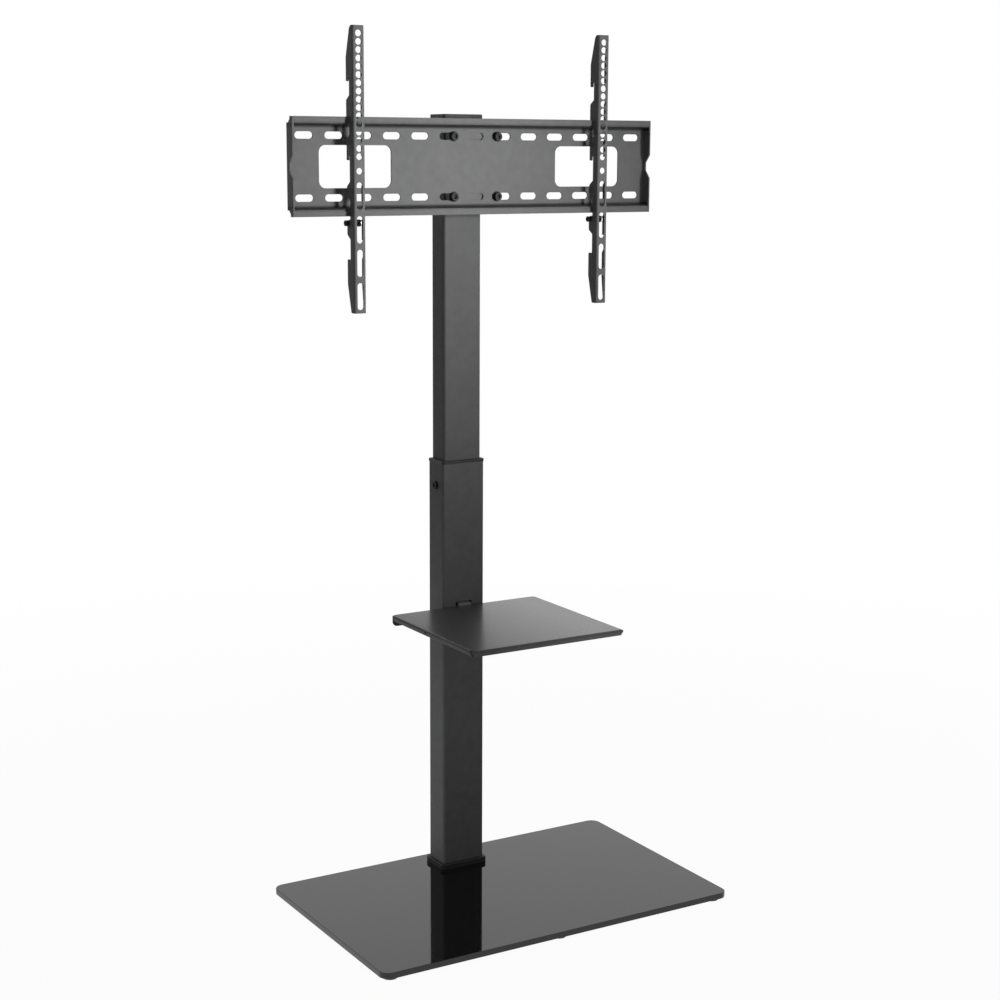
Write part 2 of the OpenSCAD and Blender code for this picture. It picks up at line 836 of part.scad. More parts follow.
module wall_plate() {
    slot_mid = (plate_slot_count - 1) / 2;
    color([0.5, 0.5, 0.51])
        translate([0, plate_back, plate_z])
            difference() {
                mirror([0, 1, 0]) {
                    slab_x(-plate_w / 2, plate_w / 2)
                        rail_section();
                    for (x = [-plate_w / 2, plate_w / 2 - plate_t])
                        slab_x(x, x + plate_t)
                            end_outline();
                }
                slab_y(-plate_t - cut, cut) {
                    for (i = [0 : plate_slot_count - 1], sz = [-1, 1])
                        translate([(i - slot_mid) * plate_slot_pitch, sz * plate_row_gap / 2])
                            oblong(plate_slot_l, plate_slot_h);
                    for (sx = [-1, 1])
                        translate([sx * window_x, 0])
                            rounded_rect(window_w, window_h, window_r);
                }
            }
}

module plate_bolts() {
    color([0.13, 0.13, 0.14])
        at_plate_bolts()
            difference() {
                union() {
                    rod_y(bolt_under_head - bolt_head_h, bolt_under_head, bolt_head_r);
                    rod_y(bolt_under_head, bolt_under_head + bolt_l, bolt_r);
                }
                translate([0, bolt_under_head - bolt_head_h, 0])
                    rotate([-90, 0, 0])
                        hex_socket(bolt_head_r, bolt_head_h, socket_share);
            }
}

module plate_washers() {
    color([0.15, 0.15, 0.15])
        at_plate_bolts()
            difference() {
                rod_y(bolt_under_head, plate_front, washer_r);
                rod_y(bolt_under_head - cut, plate_front + cut, washer_hole_r);
            }
}

module plate_nuts() {
    nut_front = plate_back + bracket_t;
    color([0.15, 0.15, 0.15])
        at_plate_bolts()
            difference() {
                translate([0, nut_front + nut_t, 0])
                    rotate([90, 0, 0])
                        cylinder(r = nut_r, h = nut_t, $fn = 6);
                rod_y(nut_front - cut, nut_front + nut_t + cut, bolt_r + seat_gap);
            }
}

// Points of one hook and the recess under it, for the hook that is pitch steps up
function hook_points(step, low) = let (seat = step * hook_pitch + slide_gap) [
    [arm_deep_d, seat - finger_l],
    [arm_shallow_d + slit_w, seat - finger_l],
    [arm_shallow_d + slit_w, seat],
    [arm_shallow_d, seat],
    [arm_shallow_d, low + recess_slope],
    [arm_deep_d, low]];

// Points of one recess for the rail's lower lip, for the hook that is pitch steps up
function lip_points(step) = let (seat = step * hook_pitch) [
    [arm_deep_d, seat - rail_flange_low + recess_over + recess_slope],
    [arm_shallow_d, seat - rail_flange_low + recess_over],
    [arm_shallow_d, seat - rail_lip_low - lift_room],
    [arm_deep_d, seat - rail_lip_low - lift_room]];

// Points of one recess in the plain flange, from its top down to its low end
function plain_points(high, low) = [
    [arm_plain_d, high],
    [arm_plain_low_d, high],
    [arm_plain_low_d, low + recess_slope],
    [arm_plain_d, low]];

// Side view of the hooked flange, depth from the arm's face along X, height above the rail's lip along Y
module hooked_side() {
    polygon(concat(
        [[0, arm_up], [arm_top_d, arm_up], [arm_taper_top_d, arm_up - arm_top_step],
            [arm_deep_d, arm_up - arm_taper_top_l]],
        hook_points(1, hook_pitch - recess_l - recess_slope),
        hook_points(0, -recess_l - recess_slope),
        hook_points(-1, hook_pitch - rail_lip_low - lift_room - recess_slope),
        lip_points(0),
        lip_points(-1),
        [[arm_deep_d, arm_up - arm_l + arm_taper_bottom_l], [arm_taper_bottom_d, arm_up - arm_l],
            [0, arm_up - arm_l]]));
}

// Side view of the plain flange, placed like that of the hooked flange
module plain_side() {
    hook_recess = -recess_l - recess_slope;
    lip_recess = -rail_lip_low - lift_room;
    polygon(concat(
        [[0, arm_up], [arm_plain_low_d, arm_up], [arm_plain_d, arm_up - arm_taper_top_l]],
        plain_points(hook_pitch, hook_pitch + hook_recess),
        plain_points(0, hook_recess),
        plain_points(-hook_pitch, hook_pitch + lip_recess - recess_slope),
        plain_points(lip_recess + hook_pitch / 2, lip_recess),
        plain_points(lip_recess - hook_pitch / 2, lip_recess - hook_pitch),
        [[arm_plain_d, arm_up - arm_l + arm_taper_bottom_l], [arm_plain_low_d, arm_up - arm_l],
            [0, arm_up - arm_l]]));
}

// Channel section of an arm, its face towards negative Y
module arm_section() {
    difference() {
        translate([0, arm_deep_d])
            rounded_rect(arm_w, 2 * arm_deep_d, arm_bend_r);
        translate([0, arm_deep_d])
            rounded_rect(arm_w - 2 * arm_t, 2 * (arm_deep_d - arm_t), arm_bend_r - arm_t);
        translate([-arm_w, arm_deep_d])
            square([2 * arm_w, 2 * arm_deep_d]);
    }
}

module arm(x) {
    color([0.47, 0.47, 0.48])
        translate([x, arm_front, 0])
            difference() {
                intersection() {
                    translate([0, 0, arm_bottom])
                        linear_extrude(arm_l)
                            arm_section();
                    translate([0, 0, lip_top]) {
                        slab_x(-arm_w / 2 - cut, arm_w / 2 - arm_bend_r)
                            hooked_side();
                        slab_x(-arm_w / 2 + arm_bend_r, arm_w / 2 + cut)
                            plain_side();
                    }
                }
                slab_y(-cut, arm_t + cut) {
                    for (i = [0 : arm_hole_count - 1])
                        translate([0, arm_top - arm_hole_first - i * arm_hole_pitch])
                            circle(arm_hole_r);
                    translate([0, arm_top - arm_l / 2])
                        circle(arm_hole_r);
                    for (i = [0 : arm_slot_count - 1])
                        translate([0, arm_bottom + arm_slot_first + i * arm_slot_pitch])
                            rotate(90)
                                oblong(arm_slot_l, 2 * arm_hole_r);
                }
                translate([0, pin_y - arm_front, pin_z])
                    rod_x(-arm_w / 2 - cut, 0, pin_hole_r);
            }
}

module left_arm() {
    arm(-arm_x);
}

module right_arm() {
    arm(arm_x);
}

// Cross screw of an arm: head on the left, end in the nut on the right
module lock_screw(x) {
    head_end = -arm_w / 2 - slide_gap;
    color([0.13, 0.13, 0.14])
        translate([x, pin_y, pin_z])
            difference() {
                union() {
                    rod_x(head_end - pin_head_h, head_end, pin_head_r);
                    rod_x(head_end, arm_w / 2 + pin_nut_t, pin_r);
                }
                translate([head_end - pin_head_h, 0, 0])
                    rotate([0, 90, 0])
                        hex_socket(pin_head_r, pin_head_h, socket_share);
            }
}

module left_lock_screw() {
    lock_screw(-arm_x);
}

module right_lock_screw() {
    lock_screw(arm_x);
}

// Spacer sleeve between the hooked flange of an arm and the nut
module lock_sleeve(x) {
    left_end = -arm_w / 2 + arm_t + seat_gap;
    right_end = arm_w / 2 - seat_gap;
    color([0.15, 0.15, 0.15])
        translate([x, pin_y, pin_z])
            difference() {
                rod_x(left_end, right_end, sleeve_r);
                rod_x(left_end - cut, right_end + cut, pin_r + turn_gap);
            }
}

module left_lock_sleeve() {
    lock_sleeve(-arm_x);
}

module right_lock_sleeve() {
    lock_sleeve(arm_x);
}

// Nut at the end of the spacer sleeve
module lock_nut(x) {
    color([0.55, 0.55, 0.55])
        translate([x + arm_w / 2, pin_y, pin_z])
            difference() {
                rotate([0, 90, 0])
                    cylinder(r = pin_nut_r, h = pin_nut_t, $fn = 6);
                rod_x(-cut, pin_nut_t + cut, pin_r + turn_gap);
            }
}

module left_lock_nut() {
    lock_nut(-arm_x);
}

module right_lock_nut() {
    lock_nut(arm_x);
}

glass_base();
base_feet();
base_plate();
base_gasket();
column_gasket();
base_screws();
foot_block();
base_collar();
lower_tube();
guide_bush();
height_lock_screw();
height_clamp_plate();
upper_tube();
glide_shoe();
top_cap();
shelf_tray();
shelf_screws();
shelf_inserts();
standoff_bracket();
wall_plate();
plate_bolts();
plate_washers();
plate_nuts();
left_arm();
right_arm();
left_lock_screw();
right_lock_screw();
left_lock_sleeve();
right_lock_sleeve();
left_lock_nut();
right_lock_nut();
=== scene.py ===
import json
import math
import bmesh
import bpy
from mathutils import Matrix, Vector


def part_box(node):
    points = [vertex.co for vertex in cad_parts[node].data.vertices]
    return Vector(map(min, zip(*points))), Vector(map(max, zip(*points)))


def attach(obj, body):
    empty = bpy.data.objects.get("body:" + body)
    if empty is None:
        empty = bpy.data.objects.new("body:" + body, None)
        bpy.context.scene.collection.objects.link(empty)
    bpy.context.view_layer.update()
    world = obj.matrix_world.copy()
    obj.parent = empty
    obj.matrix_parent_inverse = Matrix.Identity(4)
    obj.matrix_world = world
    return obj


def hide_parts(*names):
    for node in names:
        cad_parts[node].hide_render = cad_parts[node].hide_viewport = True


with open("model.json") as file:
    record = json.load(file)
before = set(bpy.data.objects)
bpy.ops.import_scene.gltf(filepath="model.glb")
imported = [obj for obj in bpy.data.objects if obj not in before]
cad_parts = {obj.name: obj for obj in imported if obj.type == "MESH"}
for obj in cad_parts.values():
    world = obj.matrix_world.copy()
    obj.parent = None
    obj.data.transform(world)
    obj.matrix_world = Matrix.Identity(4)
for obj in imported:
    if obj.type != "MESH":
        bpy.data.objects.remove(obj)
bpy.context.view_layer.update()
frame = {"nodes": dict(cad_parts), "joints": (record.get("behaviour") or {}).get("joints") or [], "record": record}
print("frame loaded:", len(frame["nodes"]), "nodes")

mm = 0.001
overrun = 2 * mm  # every cutter runs past what it cuts
nearly = 0.01 * mm  # nearer than this counts as the same place
weld = 0.001 * mm  # vertices this close become one


# Shader helpers

class Wire:
    # One output socket. Arithmetic on it adds Math nodes.
    def __init__(self, finish, socket):
        self.finish = finish
        self.socket = socket

    def maths(self, operation, first, second):
        return self.finish.maths(operation, first, second)

    def __add__(self, other):
        return self.maths("ADD", self, other)

    def __radd__(self, other):
        return self.maths("ADD", other, self)

    def __sub__(self, other):
        return self.maths("SUBTRACT", self, other)

    def __rsub__(self, other):
        return self.maths("SUBTRACT", other, self)

    def __mul__(self, other):
        return self.maths("MULTIPLY", self, other)

    def __rmul__(self, other):
        return self.maths("MULTIPLY", other, self)


class Finish:
    # A node tree with its Principled shader, for one material
    def __init__(self, name):
        self.material = bpy.data.materials.new(name)
        self.material.use_nodes = True
        self.tree = self.material.node_tree
        self.shader = self.tree.nodes["Principled BSDF"]
        self.place = self.out("ShaderNodeTexCoord", {}, {}, "Object")

    def node(self, kind, settings, values):
        made = self.tree.nodes.new(kind)
        for key, value in settings.items():
            setattr(made, key, value)
        for key, value in values.items():
            if isinstance(value, Wire):
                self.tree.links.new(value.socket, made.inputs[key])
            else:
                made.inputs[key].default_value = value
        return made

    def maths(self, operation, first, second):
        return self.out("ShaderNodeMath", {"operation": operation}, {0: first, 1: second})

    def out(self, kind, settings, values, output=0):
        return Wire(self, self.node(kind, settings, values).outputs[output])

    def noise(self, cell, detail=2.0, roughness=0.5, stretch=(1, 1, 1)):
        # Cloudy noise whose spots are about one cell wide
        place = self.out("ShaderNodeMapping", {}, {"Vector": self.place, "Scale": stretch})
        return self.out("ShaderNodeTexNoise", {}, {"Vector": place, "Scale": 1 / cell, "Detail": detail,
                                                   "Roughness": roughness})

    def ramp(self, value, low, high, dark=0.0, light=1.0):
        return self.out("ShaderNodeMapRange", {}, {"Value": value, "From Min": low, "From Max": high,
                                                   "To Min": dark, "To Max": light})

    def spread(self, noise, dark=0.0, light=1.0):
        # Stretches the middle of a noise, where most of it lies, over the whole range
        return self.ramp(noise, 0.3, 0.7, dark, light)

    def mix(self, share, first, second):
        return self.out("ShaderNodeMix", {"data_type": "RGBA"}, {0: share, 6: first, 7: second}, 2)

    def bump(self, height, depth, strength, under=None):
        values = {"Height": height, "Distance": depth, "Strength": strength}
        if under is not None:
            values["Normal"] = under
        return self.out("ShaderNodeBump", {}, values)

    def set(self, **values):
        names = {"colour": "Base Color", "roughness": "Roughness", "metallic": "Metallic", "normal": "Normal",
                 "specular": "Specular IOR Level", "coat": "Coat Weight", "coatRoughness": "Coat Roughness",
                 "ior": "IOR"}
        for key, value in values.items():
            socket = self.shader.inputs[names[key]]
            if isinstance(value, Wire):
                self.tree.links.new(value.socket, socket)
            else:
                socket.default_value = value
        return self.material


def grey(value, warmth=0.0):
    return (value * (1 + warmth), value, value * (1 - warmth), 1)


# Materials: cells and depths of their textures, and the greys they vary between

# The powder coat's last grey is the painted shade that darkens inside corners
powderCoat = {"patch": 140 * mm, "mottle": 17 * mm, "grain": 1.1 * mm, "speck": 0.45 * mm,
              "grainDepth": 0.07 * mm, "speckDepth": 0.03 * mm, "patchShare": 0.3, "mottleShare": 0.45,
              "speckShare": 0.25, "dark": 0.86, "light": 1.16, "bare": 0.08}
greyCoat = {"shade": 0.14, "roughness": 0.5, "specular": 0.1}
columnCoat = {"shade": 0.12, "roughness": 0.5, "specular": 0.08}
blackGlass = {"haze": 90 * mm, "mote": 0.9 * mm, "wave": 240 * mm, "waveDepth": 0.05 * mm, "clean": 0.006,
              "dusty": 0.09, "moteShare": 0.25, "polish": 0.035, "hazeRough": 0.03, "moteRough": 0.15}
moulding = {"grain": 0.5 * mm, "flow": 26 * mm, "depth": 0.04 * mm, "dark": 0.88, "light": 1.12}
footRubber = {"grain": 1.3 * mm, "bloom": 14 * mm, "depth": 0.08 * mm, "dark": 0.018, "light": 0.034}
zincPlate = {"crystal": 2.2 * mm, "tint": 9 * mm, "depth": 0.02 * mm, "dark": 0.5, "light": 0.66}
blackenedSteel = {"forged": 0.7 * mm, "rubbed": 5 * mm, "depth": 0.03 * mm, "dark": 0.014, "light": 0.034}
darkPaint = {"peel": 2.4 * mm, "patch": 60 * mm, "depth": 0.05 * mm, "dark": 0.03, "light": 0.045}


def makePowderCoat(name, shade, roughness, specular, shine=None, creaseShade=None):
    coat = Finish(name)
    patches = coat.noise(powderCoat["patch"], 3.0)
    grain = coat.noise(powderCoat["grain"], 3.0, 0.6)
    specks = coat.noise(powderCoat["speck"], 1.0)
    mottle = coat.noise(powderCoat["mottle"], 4.0, 0.6)
    tone = (coat.spread(patches, 0.0, powderCoat["patchShare"])
            + coat.spread(mottle, 0.0, powderCoat["mottleShare"])
            + coat.ramp(specks, 0.35, 0.75, 0.0, powderCoat["speckShare"]))
    colour = coat.mix(tone, grey(shade * powderCoat["dark"], -0.012),
                      grey(shade * powderCoat["light"], -0.004))
    rough = coat.spread(grain, roughness - 0.06, roughness + 0.08)
    spot = coat.node("ShaderNodeSeparateXYZ", {}, {"Vector": coat.place})
    across, depth, height = [Wire(coat, spot.outputs[axis]) for axis in "XYZ"]
    if creaseShade:
        # Painted shade: the inside corners are darkened in the colour to stand in for their shadow
        away = coat.maths("ABSOLUTE", height - creaseShade["middle"], 0.0)
        shadeMask = (coat.ramp(away, *creaseShade["start"]) * coat.ramp(depth, *creaseShade["depth"])
                * coat.ramp(away, *creaseShade["end"], 1.0, 0.0))
        colour = coat.mix(shadeMask * creaseShade["strength"], colour, grey(shade * powderCoat["bare"]))
    peel = coat.bump(grain, powderCoat["grainDepth"], 0.5)
    normal = coat.bump(specks, powderCoat["speckDepth"], 0.5, peel)
    if shine:
        # Glossier from one height up and along the front, where hands have rubbed it smooth
        front = coat.ramp(depth, *shine["front"], shine["frontDrop"], 0.0)
        face = coat.ramp(height + front, *shine["level"])
        coat.set(coat=face * coat.ramp(across, *shine["across"]), coatRoughness=shine["roughness"])
    return coat.set(colour=colour, roughness=rough, normal=normal, specular=specular)


def makeBlackGlass():
    glass = Finish("blackGlass")
    haze = glass.noise(blackGlass["haze"], 4.0, 0.6)
    dust = glass.noise(blackGlass["mote"], 0.0)
    film = glass.ramp(haze, 0.35, 0.75)
    mote = glass.ramp(dust, 0.76, 0.8)
    colour = glass.mix(mote * blackGlass["moteShare"], grey(blackGlass["clean"], -0.04),
                       grey(blackGlass["dusty"]))
    rough = blackGlass["polish"] + film * blackGlass["hazeRough"] + mote * blackGlass["moteRough"]
    wave = glass.bump(glass.noise(blackGlass["wave"], 1.0), blackGlass["waveDepth"], 0.2)
    return glass.set(colour=colour, roughness=rough, normal=wave, ior=1.5, specular=0.5)


def makeMoulding(name, shade, roughness, warmth=0.0):
    # Fine spark-eroded texture of a moulded plastic part
    plastic = Finish(name)
    grain = plastic.noise(moulding["grain"], 2.0, 0.6)
    flow = plastic.noise(moulding["flow"], 2.0, 0.5, (1, 1, 0.35))
    colour = plastic.mix(plastic.spread(flow), grey(shade * moulding["dark"], warmth),
                         grey(shade * moulding["light"], warmth))
    rough = plastic.spread(grain, roughness - 0.05, roughness + 0.06)
    return plastic.set(colour=colour, roughness=rough, normal=plastic.bump(grain, moulding["depth"], 0.5),
                       specular=0.2)


def makeRubber():
    rubber = Finish("footRubber")
    grain = rubber.noise(footRubber["grain"], 3.0, 0.65)
    bloom = rubber.noise(footRubber["bloom"], 2.0)
    colour = rubber.mix(rubber.ramp(bloom, 0.4, 0.75), grey(footRubber["dark"]), grey(footRubber["light"]))
    return rubber.set(colour=colour, roughness=rubber.spread(grain, 0.74, 0.92),
                      normal=rubber.bump(grain, footRubber["depth"], 0.6), specular=0.2)


def makePlatedSteel():
    plated = Finish("zincPlate")
    crystals = plated.noise(zincPlate["crystal"], 3.0, 0.6)
    tint = plated.noise(zincPlate["tint"], 2.0)
    colour = plated.mix(plated.ramp(tint, 0.35, 0.7), grey(zincPlate["dark"], -0.015),
                        grey(zincPlate["light"], 0.02))
    return plated.set(colour=colour, metallic=1.0, roughness=plated.spread(crystals, 0.3, 0.48),
                      normal=plated.bump(crystals, zincPlate["depth"], 0.4))


def makeBlackenedSteel():
    black = Finish("blackenedSteel")
    forged = black.noise(blackenedSteel["forged"], 2.0, 0.6)
    rubbed = black.noise(blackenedSteel["rubbed"], 3.0, 0.6)
    colour = black.mix(black.ramp(rubbed, 0.5, 0.75), grey(blackenedSteel["dark"], -0.02),
                       grey(blackenedSteel["light"], 0.02))
    return black.set(colour=colour, metallic=0.1, roughness=black.spread(forged, 0.42, 0.56),
                     normal=black.bump(forged, blackenedSteel["depth"], 0.4), specular=0.12)


def makeDarkPaint():
    paint = Finish("darkPaint")
    peel = paint.noise(darkPaint["peel"], 2.0)
    patches = paint.noise(darkPaint["patch"], 2.0)
    colour = paint.mix(paint.spread(patches), grey(darkPaint["dark"]), grey(darkPaint["light"]))
    return paint.set(colour=colour, roughness=paint.spread(peel, 0.4, 0.5),
                     normal=paint.bump(peel, darkPaint["depth"], 0.4))


finishes = {
    "grey_coat": makePowderCoat("greyCoat", **greyCoat),
    "column_coat": makePowderCoat("columnCoat", **columnCoat),
    "black_glass": makeBlackGlass(),
    "black_plastic": makeMoulding("blackMoulding", shade=0.02, roughness=0.45),
    "pale_plastic": makeMoulding("paleMoulding", shade=0.72, roughness=0.5, warmth=0.03),
    "rubber": makeRubber(),
    "zinc_steel": makePlatedSteel(),
    "black_steel": makeBlackenedSteel(),
    "dark_steel": makeDarkPaint()}
slotOf = {part["node"]: part["material_slot"] for part in frame["record"]["subparts"]}
for nodeName, nodeObject in frame["nodes"].items():
    nodeObject.data.materials.clear()
    nodeObject.data.materials.append(finishes[slotOf[nodeName]])
print("materials made:", len(finishes))


# Modelling helpers

axes = {"x": 0, "y": 1, "z": 2}
barTurns = {"x": Matrix.Rotation(math.pi / 2, 4, "Y"), "y": Matrix.Rotation(math.pi / 2, 4, "X"),
            "z": Matrix.Identity(4)}
along = 0.999  # least cosine for a direction to count as along an axis
turnAngle = {"soften": 32, "sharp": 35, "flat": 0.5}  # degrees between two faces


def middleOf(node):
    low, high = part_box(node)
    return (low + high) / 2


def grown(low, high, by):
    # Corners of a box that is wider and deeper by a margin on each side
    step = Vector((by, by, 0))
    return low - step, high + step


def withHeights(low, high, bottom, top):
    return (low.x, low.y, bottom), (high.x, high.y, top)


def block(low, high):
    low, high = Vector(low), Vector(high)
    bm = bmesh.new()
    size = Matrix.Diagonal((*(high - low), 1))
    bmesh.ops.create_cube(bm, size=1, matrix=Matrix.Translation((low + high) / 2) @ size)
    return bm


def edgesAlong(bm, axis):
    i = axes[axis]
    return [e for e in bm.edges if abs((e.verts[1].co - e.verts[0].co).normalized()[i]) > along]


def edgesAt(bm, axis, place):
    # Edges that lie wholly at one place along an axis
    i = axes[axis]
    return [e for e in bm.edges if all(abs(v.co[i] - place) < nearly for v in e.verts)]


def roundOver(bm, edges, radius, segments=4):
    if edges:
        bmesh.ops.bevel(bm, geom=edges, offset=radius, offset_type="OFFSET", segments=segments, profile=0.5,
                        affect="EDGES", clamp_overlap=False, material=-1)


def roundedBlock(low, high, radius, segments=8, axis="z"):
    bm = block(low, high)
    roundOver(bm, edgesAlong(bm, axis), radius, segments)
    return bm


def prism(points, axis, low, high):
    # Solid with the given outline, from low to high along an axis
    i = axes[axis]
    bm = bmesh.new()
    rim = []
    for point in points:
        place = list(point)
        place.insert(i, low)
        rim.append(bm.verts.new(place))
    grownPart = bmesh.ops.extrude_face_region(bm, geom=[bm.faces.new(rim)])["geom"]
    step = Vector((0, 0, 0))
    step[i] = high - low
    bmesh.ops.translate(bm, verts=[v for v in grownPart if isinstance(v, bmesh.types.BMVert)], vec=step)
    bmesh.ops.recalc_face_normals(bm, faces=bm.faces[:])
    return bm


def rod(centre, radius, axis, low, high, segments=40):
    # Round bar through centre, from low to high along an axis
    middle = Vector(centre)
    middle[axes[axis]] = (low + high) / 2
    bm = bmesh.new()
    bmesh.ops.create_cone(bm, cap_ends=True, segments=segments, radius1=radius, radius2=radius,
                          depth=high - low, matrix=Matrix.Translation(middle) @ barTurns[axis])
    return bm


def oblong(centre, length, height, lengthwise, through, low, high):
    # Bar with round ends, long along one axis, that runs from low to high along another
    half = [height / 2] * 3
    half[axes[lengthwise]] = length / 2
    lowCorner = [c - h for c, h in zip(centre, half)]
    highCorner = [c + h for c, h in zip(centre, half)]
    lowCorner[axes[through]] = low
    highCorner[axes[through]] = high
    return roundedBlock(lowCorner, highCorner, height / 2 - nearly, 14, through)


def turned(profile, centre, segments=48):
    # Solid of revolution about Z: profile points are (radius, height)
    bm = bmesh.new()
    points = [bm.verts.new((radius, 0, height)) for radius, height in profile]
    line = [bm.edges.new(pair) for pair in zip(points, points[1:])]
    bmesh.ops.spin(bm, geom=points + line, cent=(0, 0, 0), axis=(0, 0, 1), angle=2 * math.pi, steps=segments,
                   use_merge=True)
    bmesh.ops.remove_doubles(bm, verts=bm.verts[:], dist=weld)
    bmesh.ops.transform(bm, matrix=Matrix.Translation(centre), verts=bm.verts[:])
    bmesh.ops.recalc_face_normals(bm, faces=bm.faces[:])
    return bm


def joined(shapes):
    # Several separate solids as one mesh
    whole = bmesh.new()
    for shape in shapes:
        mesh = bpy.data.meshes.new("part")
        shape.to_mesh(mesh)
        shape.free()
        whole.from_mesh(mesh)
        bpy.data.meshes.remove(mesh)
    return whole


def combined(base, other, operation):
    # Boolean of two solids
    shapes = []
    for bm in (base, other):
        mesh = bpy.data.meshes.new("shape")
        bm.to_mesh(mesh)
        bm.free()
        shapes.append(bpy.data.objects.new("shape", mesh))
        bpy.context.scene.collection.objects.link(shapes[-1])
    modifier = shapes[0].modifiers.new("combine", "BOOLEAN")
    modifier.operation = operation
    modifier.solver = "EXACT"
    modifier.object = shapes[1]
    result = bmesh.new()
    result.from_object(shapes[0], bpy.context.evaluated_depsgraph_get())
    for shape in shapes:
        mesh = shape.data
        bpy.data.objects.remove(shape)
        bpy.data.meshes.remove(mesh)
    bmesh.ops.remove_doubles(result, verts=result.verts[:], dist=2 * weld)
    return result


def cut(base, *tools):
    return combined(base, joined(tools), "DIFFERENCE")


def united(base, *others):
    for other in others:
        base = combined(base, other, "UNION")
    return base


def soften(bm, width, segments=2):
    # Takes the sharpness off every edge that turns more than a limit
    limit = math.radians(turnAngle["soften"])
    sharp = [e for e in bm.edges if len(e.link_faces) == 2 and e.calc_face_angle(0) > limit]
    roundOver(bm, sharp, width, segments)


def flatFaced(piece):
    # Gives the large flat faces their own normals, so that only the soft edges shade round
    weigh = piece.modifiers.new("flats", "WEIGHTED_NORMAL")
    weigh.weight = 100
    weigh.keep_sharp = True
    bpy.context.view_layer.update()
    graph = bpy.context.evaluated_depsgraph_get()
    mesh = bpy.data.meshes.new_from_object(piece.evaluated_get(graph), preserve_all_data_layers=True,
                                           depsgraph=graph)
    plain = piece.data
    piece.modifiers.clear()
    piece.data = mesh
    bpy.data.meshes.remove(plain)
    mesh.name = piece.name


def addPiece(name, bm, body, *nodes, finish=None):
    # Turns a finished bmesh into a piece that stands for its CAD nodes
    bm.normal_update()
    mesh = bpy.data.meshes.new("plain")
    bm.to_mesh(mesh)
    bm.free()
    mesh.shade_smooth()
    mesh.set_sharp_from_angle(angle=math.radians(turnAngle["sharp"]))
    slotName = slotOf[nodes[0]]
    mesh.materials.append(finish or finishes[slotName])
    piece = bpy.data.objects.new(name, mesh)
    bpy.context.scene.collection.objects.link(piece)
    flatFaced(piece)
    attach(piece, body)
    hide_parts(*nodes)


def copyOf(node):
    # Merged copy of a CAD node's mesh
    bm = bmesh.new()
    bm.from_mesh(frame["nodes"][node].data)
    bmesh.ops.remove_doubles(bm, verts=bm.verts[:], dist=weld)
    bmesh.ops.dissolve_limit(bm, angle_limit=math.radians(turnAngle["flat"]), verts=bm.verts[:],
                             edges=bm.edges[:])
    return bm


# Glass base with its feet and trim

glassPlate = {"corner": 17 * mm, "arris": 1.1 * mm, "holeRadius": 4.5 * mm, "screwAcross": 23 * mm,
              "screwDeep": 10 * mm}
rubberFoot = {"radius": 12.5 * mm, "edge": 1.2 * mm, "inset": 21 * mm, "dish": 0.5 * mm, "glue": 0.4 * mm,
              "dishFlat": 0.35, "dishRim": 0.42, "bevel": 0.3, "shoulder": 0.96, "crown": 0.94,
              "places": [(-1, -1), (0, -1), (1, -1), (-1, 1), (1, 1)]}
trimCollar = {"corner": 6.5 * mm, "bore": 4.25 * mm, "chamfer": 1.6 * mm, "gap": 0.25 * mm,
              "edge": 0.3 * mm}


def columnMiddle():
    low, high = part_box("lower_tube")
    return (low.x + high.x) / 2, (low.y + high.y) / 2


def makeGlassBase():
    low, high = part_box("glass_base")
    x, y = columnMiddle()
    plate = roundedBlock(low, high, glassPlate["corner"], 14)
    drills = [rod((x + sx * glassPlate["screwAcross"], y + sy * glassPlate["screwDeep"], 0),
                  glassPlate["holeRadius"], "z", low.z - overrun, high.z + overrun)
              for sx in (-1, 1) for sy in (-1, 1)]
    plate = cut(plate, *drills)
    soften(plate, glassPlate["arris"], 3)
    addPiece("glassPlate", plate, "base", "glass_base")


def footProfile(top):
    # Half section of a foot: dished sole, bevelled edge and a slightly narrower crown
    f = rubberFoot
    radius, edge = f["radius"], f["edge"]
    return [(0, f["dish"]), (radius * f["dishFlat"], f["dish"]), (radius * f["dishRim"], 0),
            (radius - edge, 0), (radius - edge * f["bevel"], edge * f["bevel"]), (radius, edge),
            (radius * f["shoulder"], top - f["glue"]), (radius * f["crown"], top), (0, top)]


def makeFeet():
    low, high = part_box("glass_base")
    middle = middleOf("glass_base")
    reach = (high - low) / 2
    inset = rubberFoot["inset"]
    profile = footProfile(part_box("base_feet")[1].z)
    feet = [turned(profile, (middle.x + sx * (reach.x - inset), middle.y + sy * (reach.y - inset), 0))
            for sx, sy in rubberFoot["places"]]
    addPiece("rubberFeet", joined(feet), "base", "base_feet")


def makeCollar():
    low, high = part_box("base_collar")
    tubeLow, tubeHigh = grown(*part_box("lower_tube"), trimCollar["gap"])
    ring = roundedBlock(low, high, trimCollar["corner"])
    roundOver(ring, edgesAt(ring, "z", high.z), trimCollar["chamfer"], 4)
    hole = roundedBlock(*withHeights(tubeLow, tubeHigh, low.z - overrun, high.z + overrun),
                        trimCollar["bore"])
    ring = cut(ring, hole)
    soften(ring, trimCollar["edge"])
    addPiece("footCollar", ring, "base", "base_collar")


makeGlassBase()
makeFeet()
makeCollar()
print("base made")


# Column: two tubes, guide bush and cap

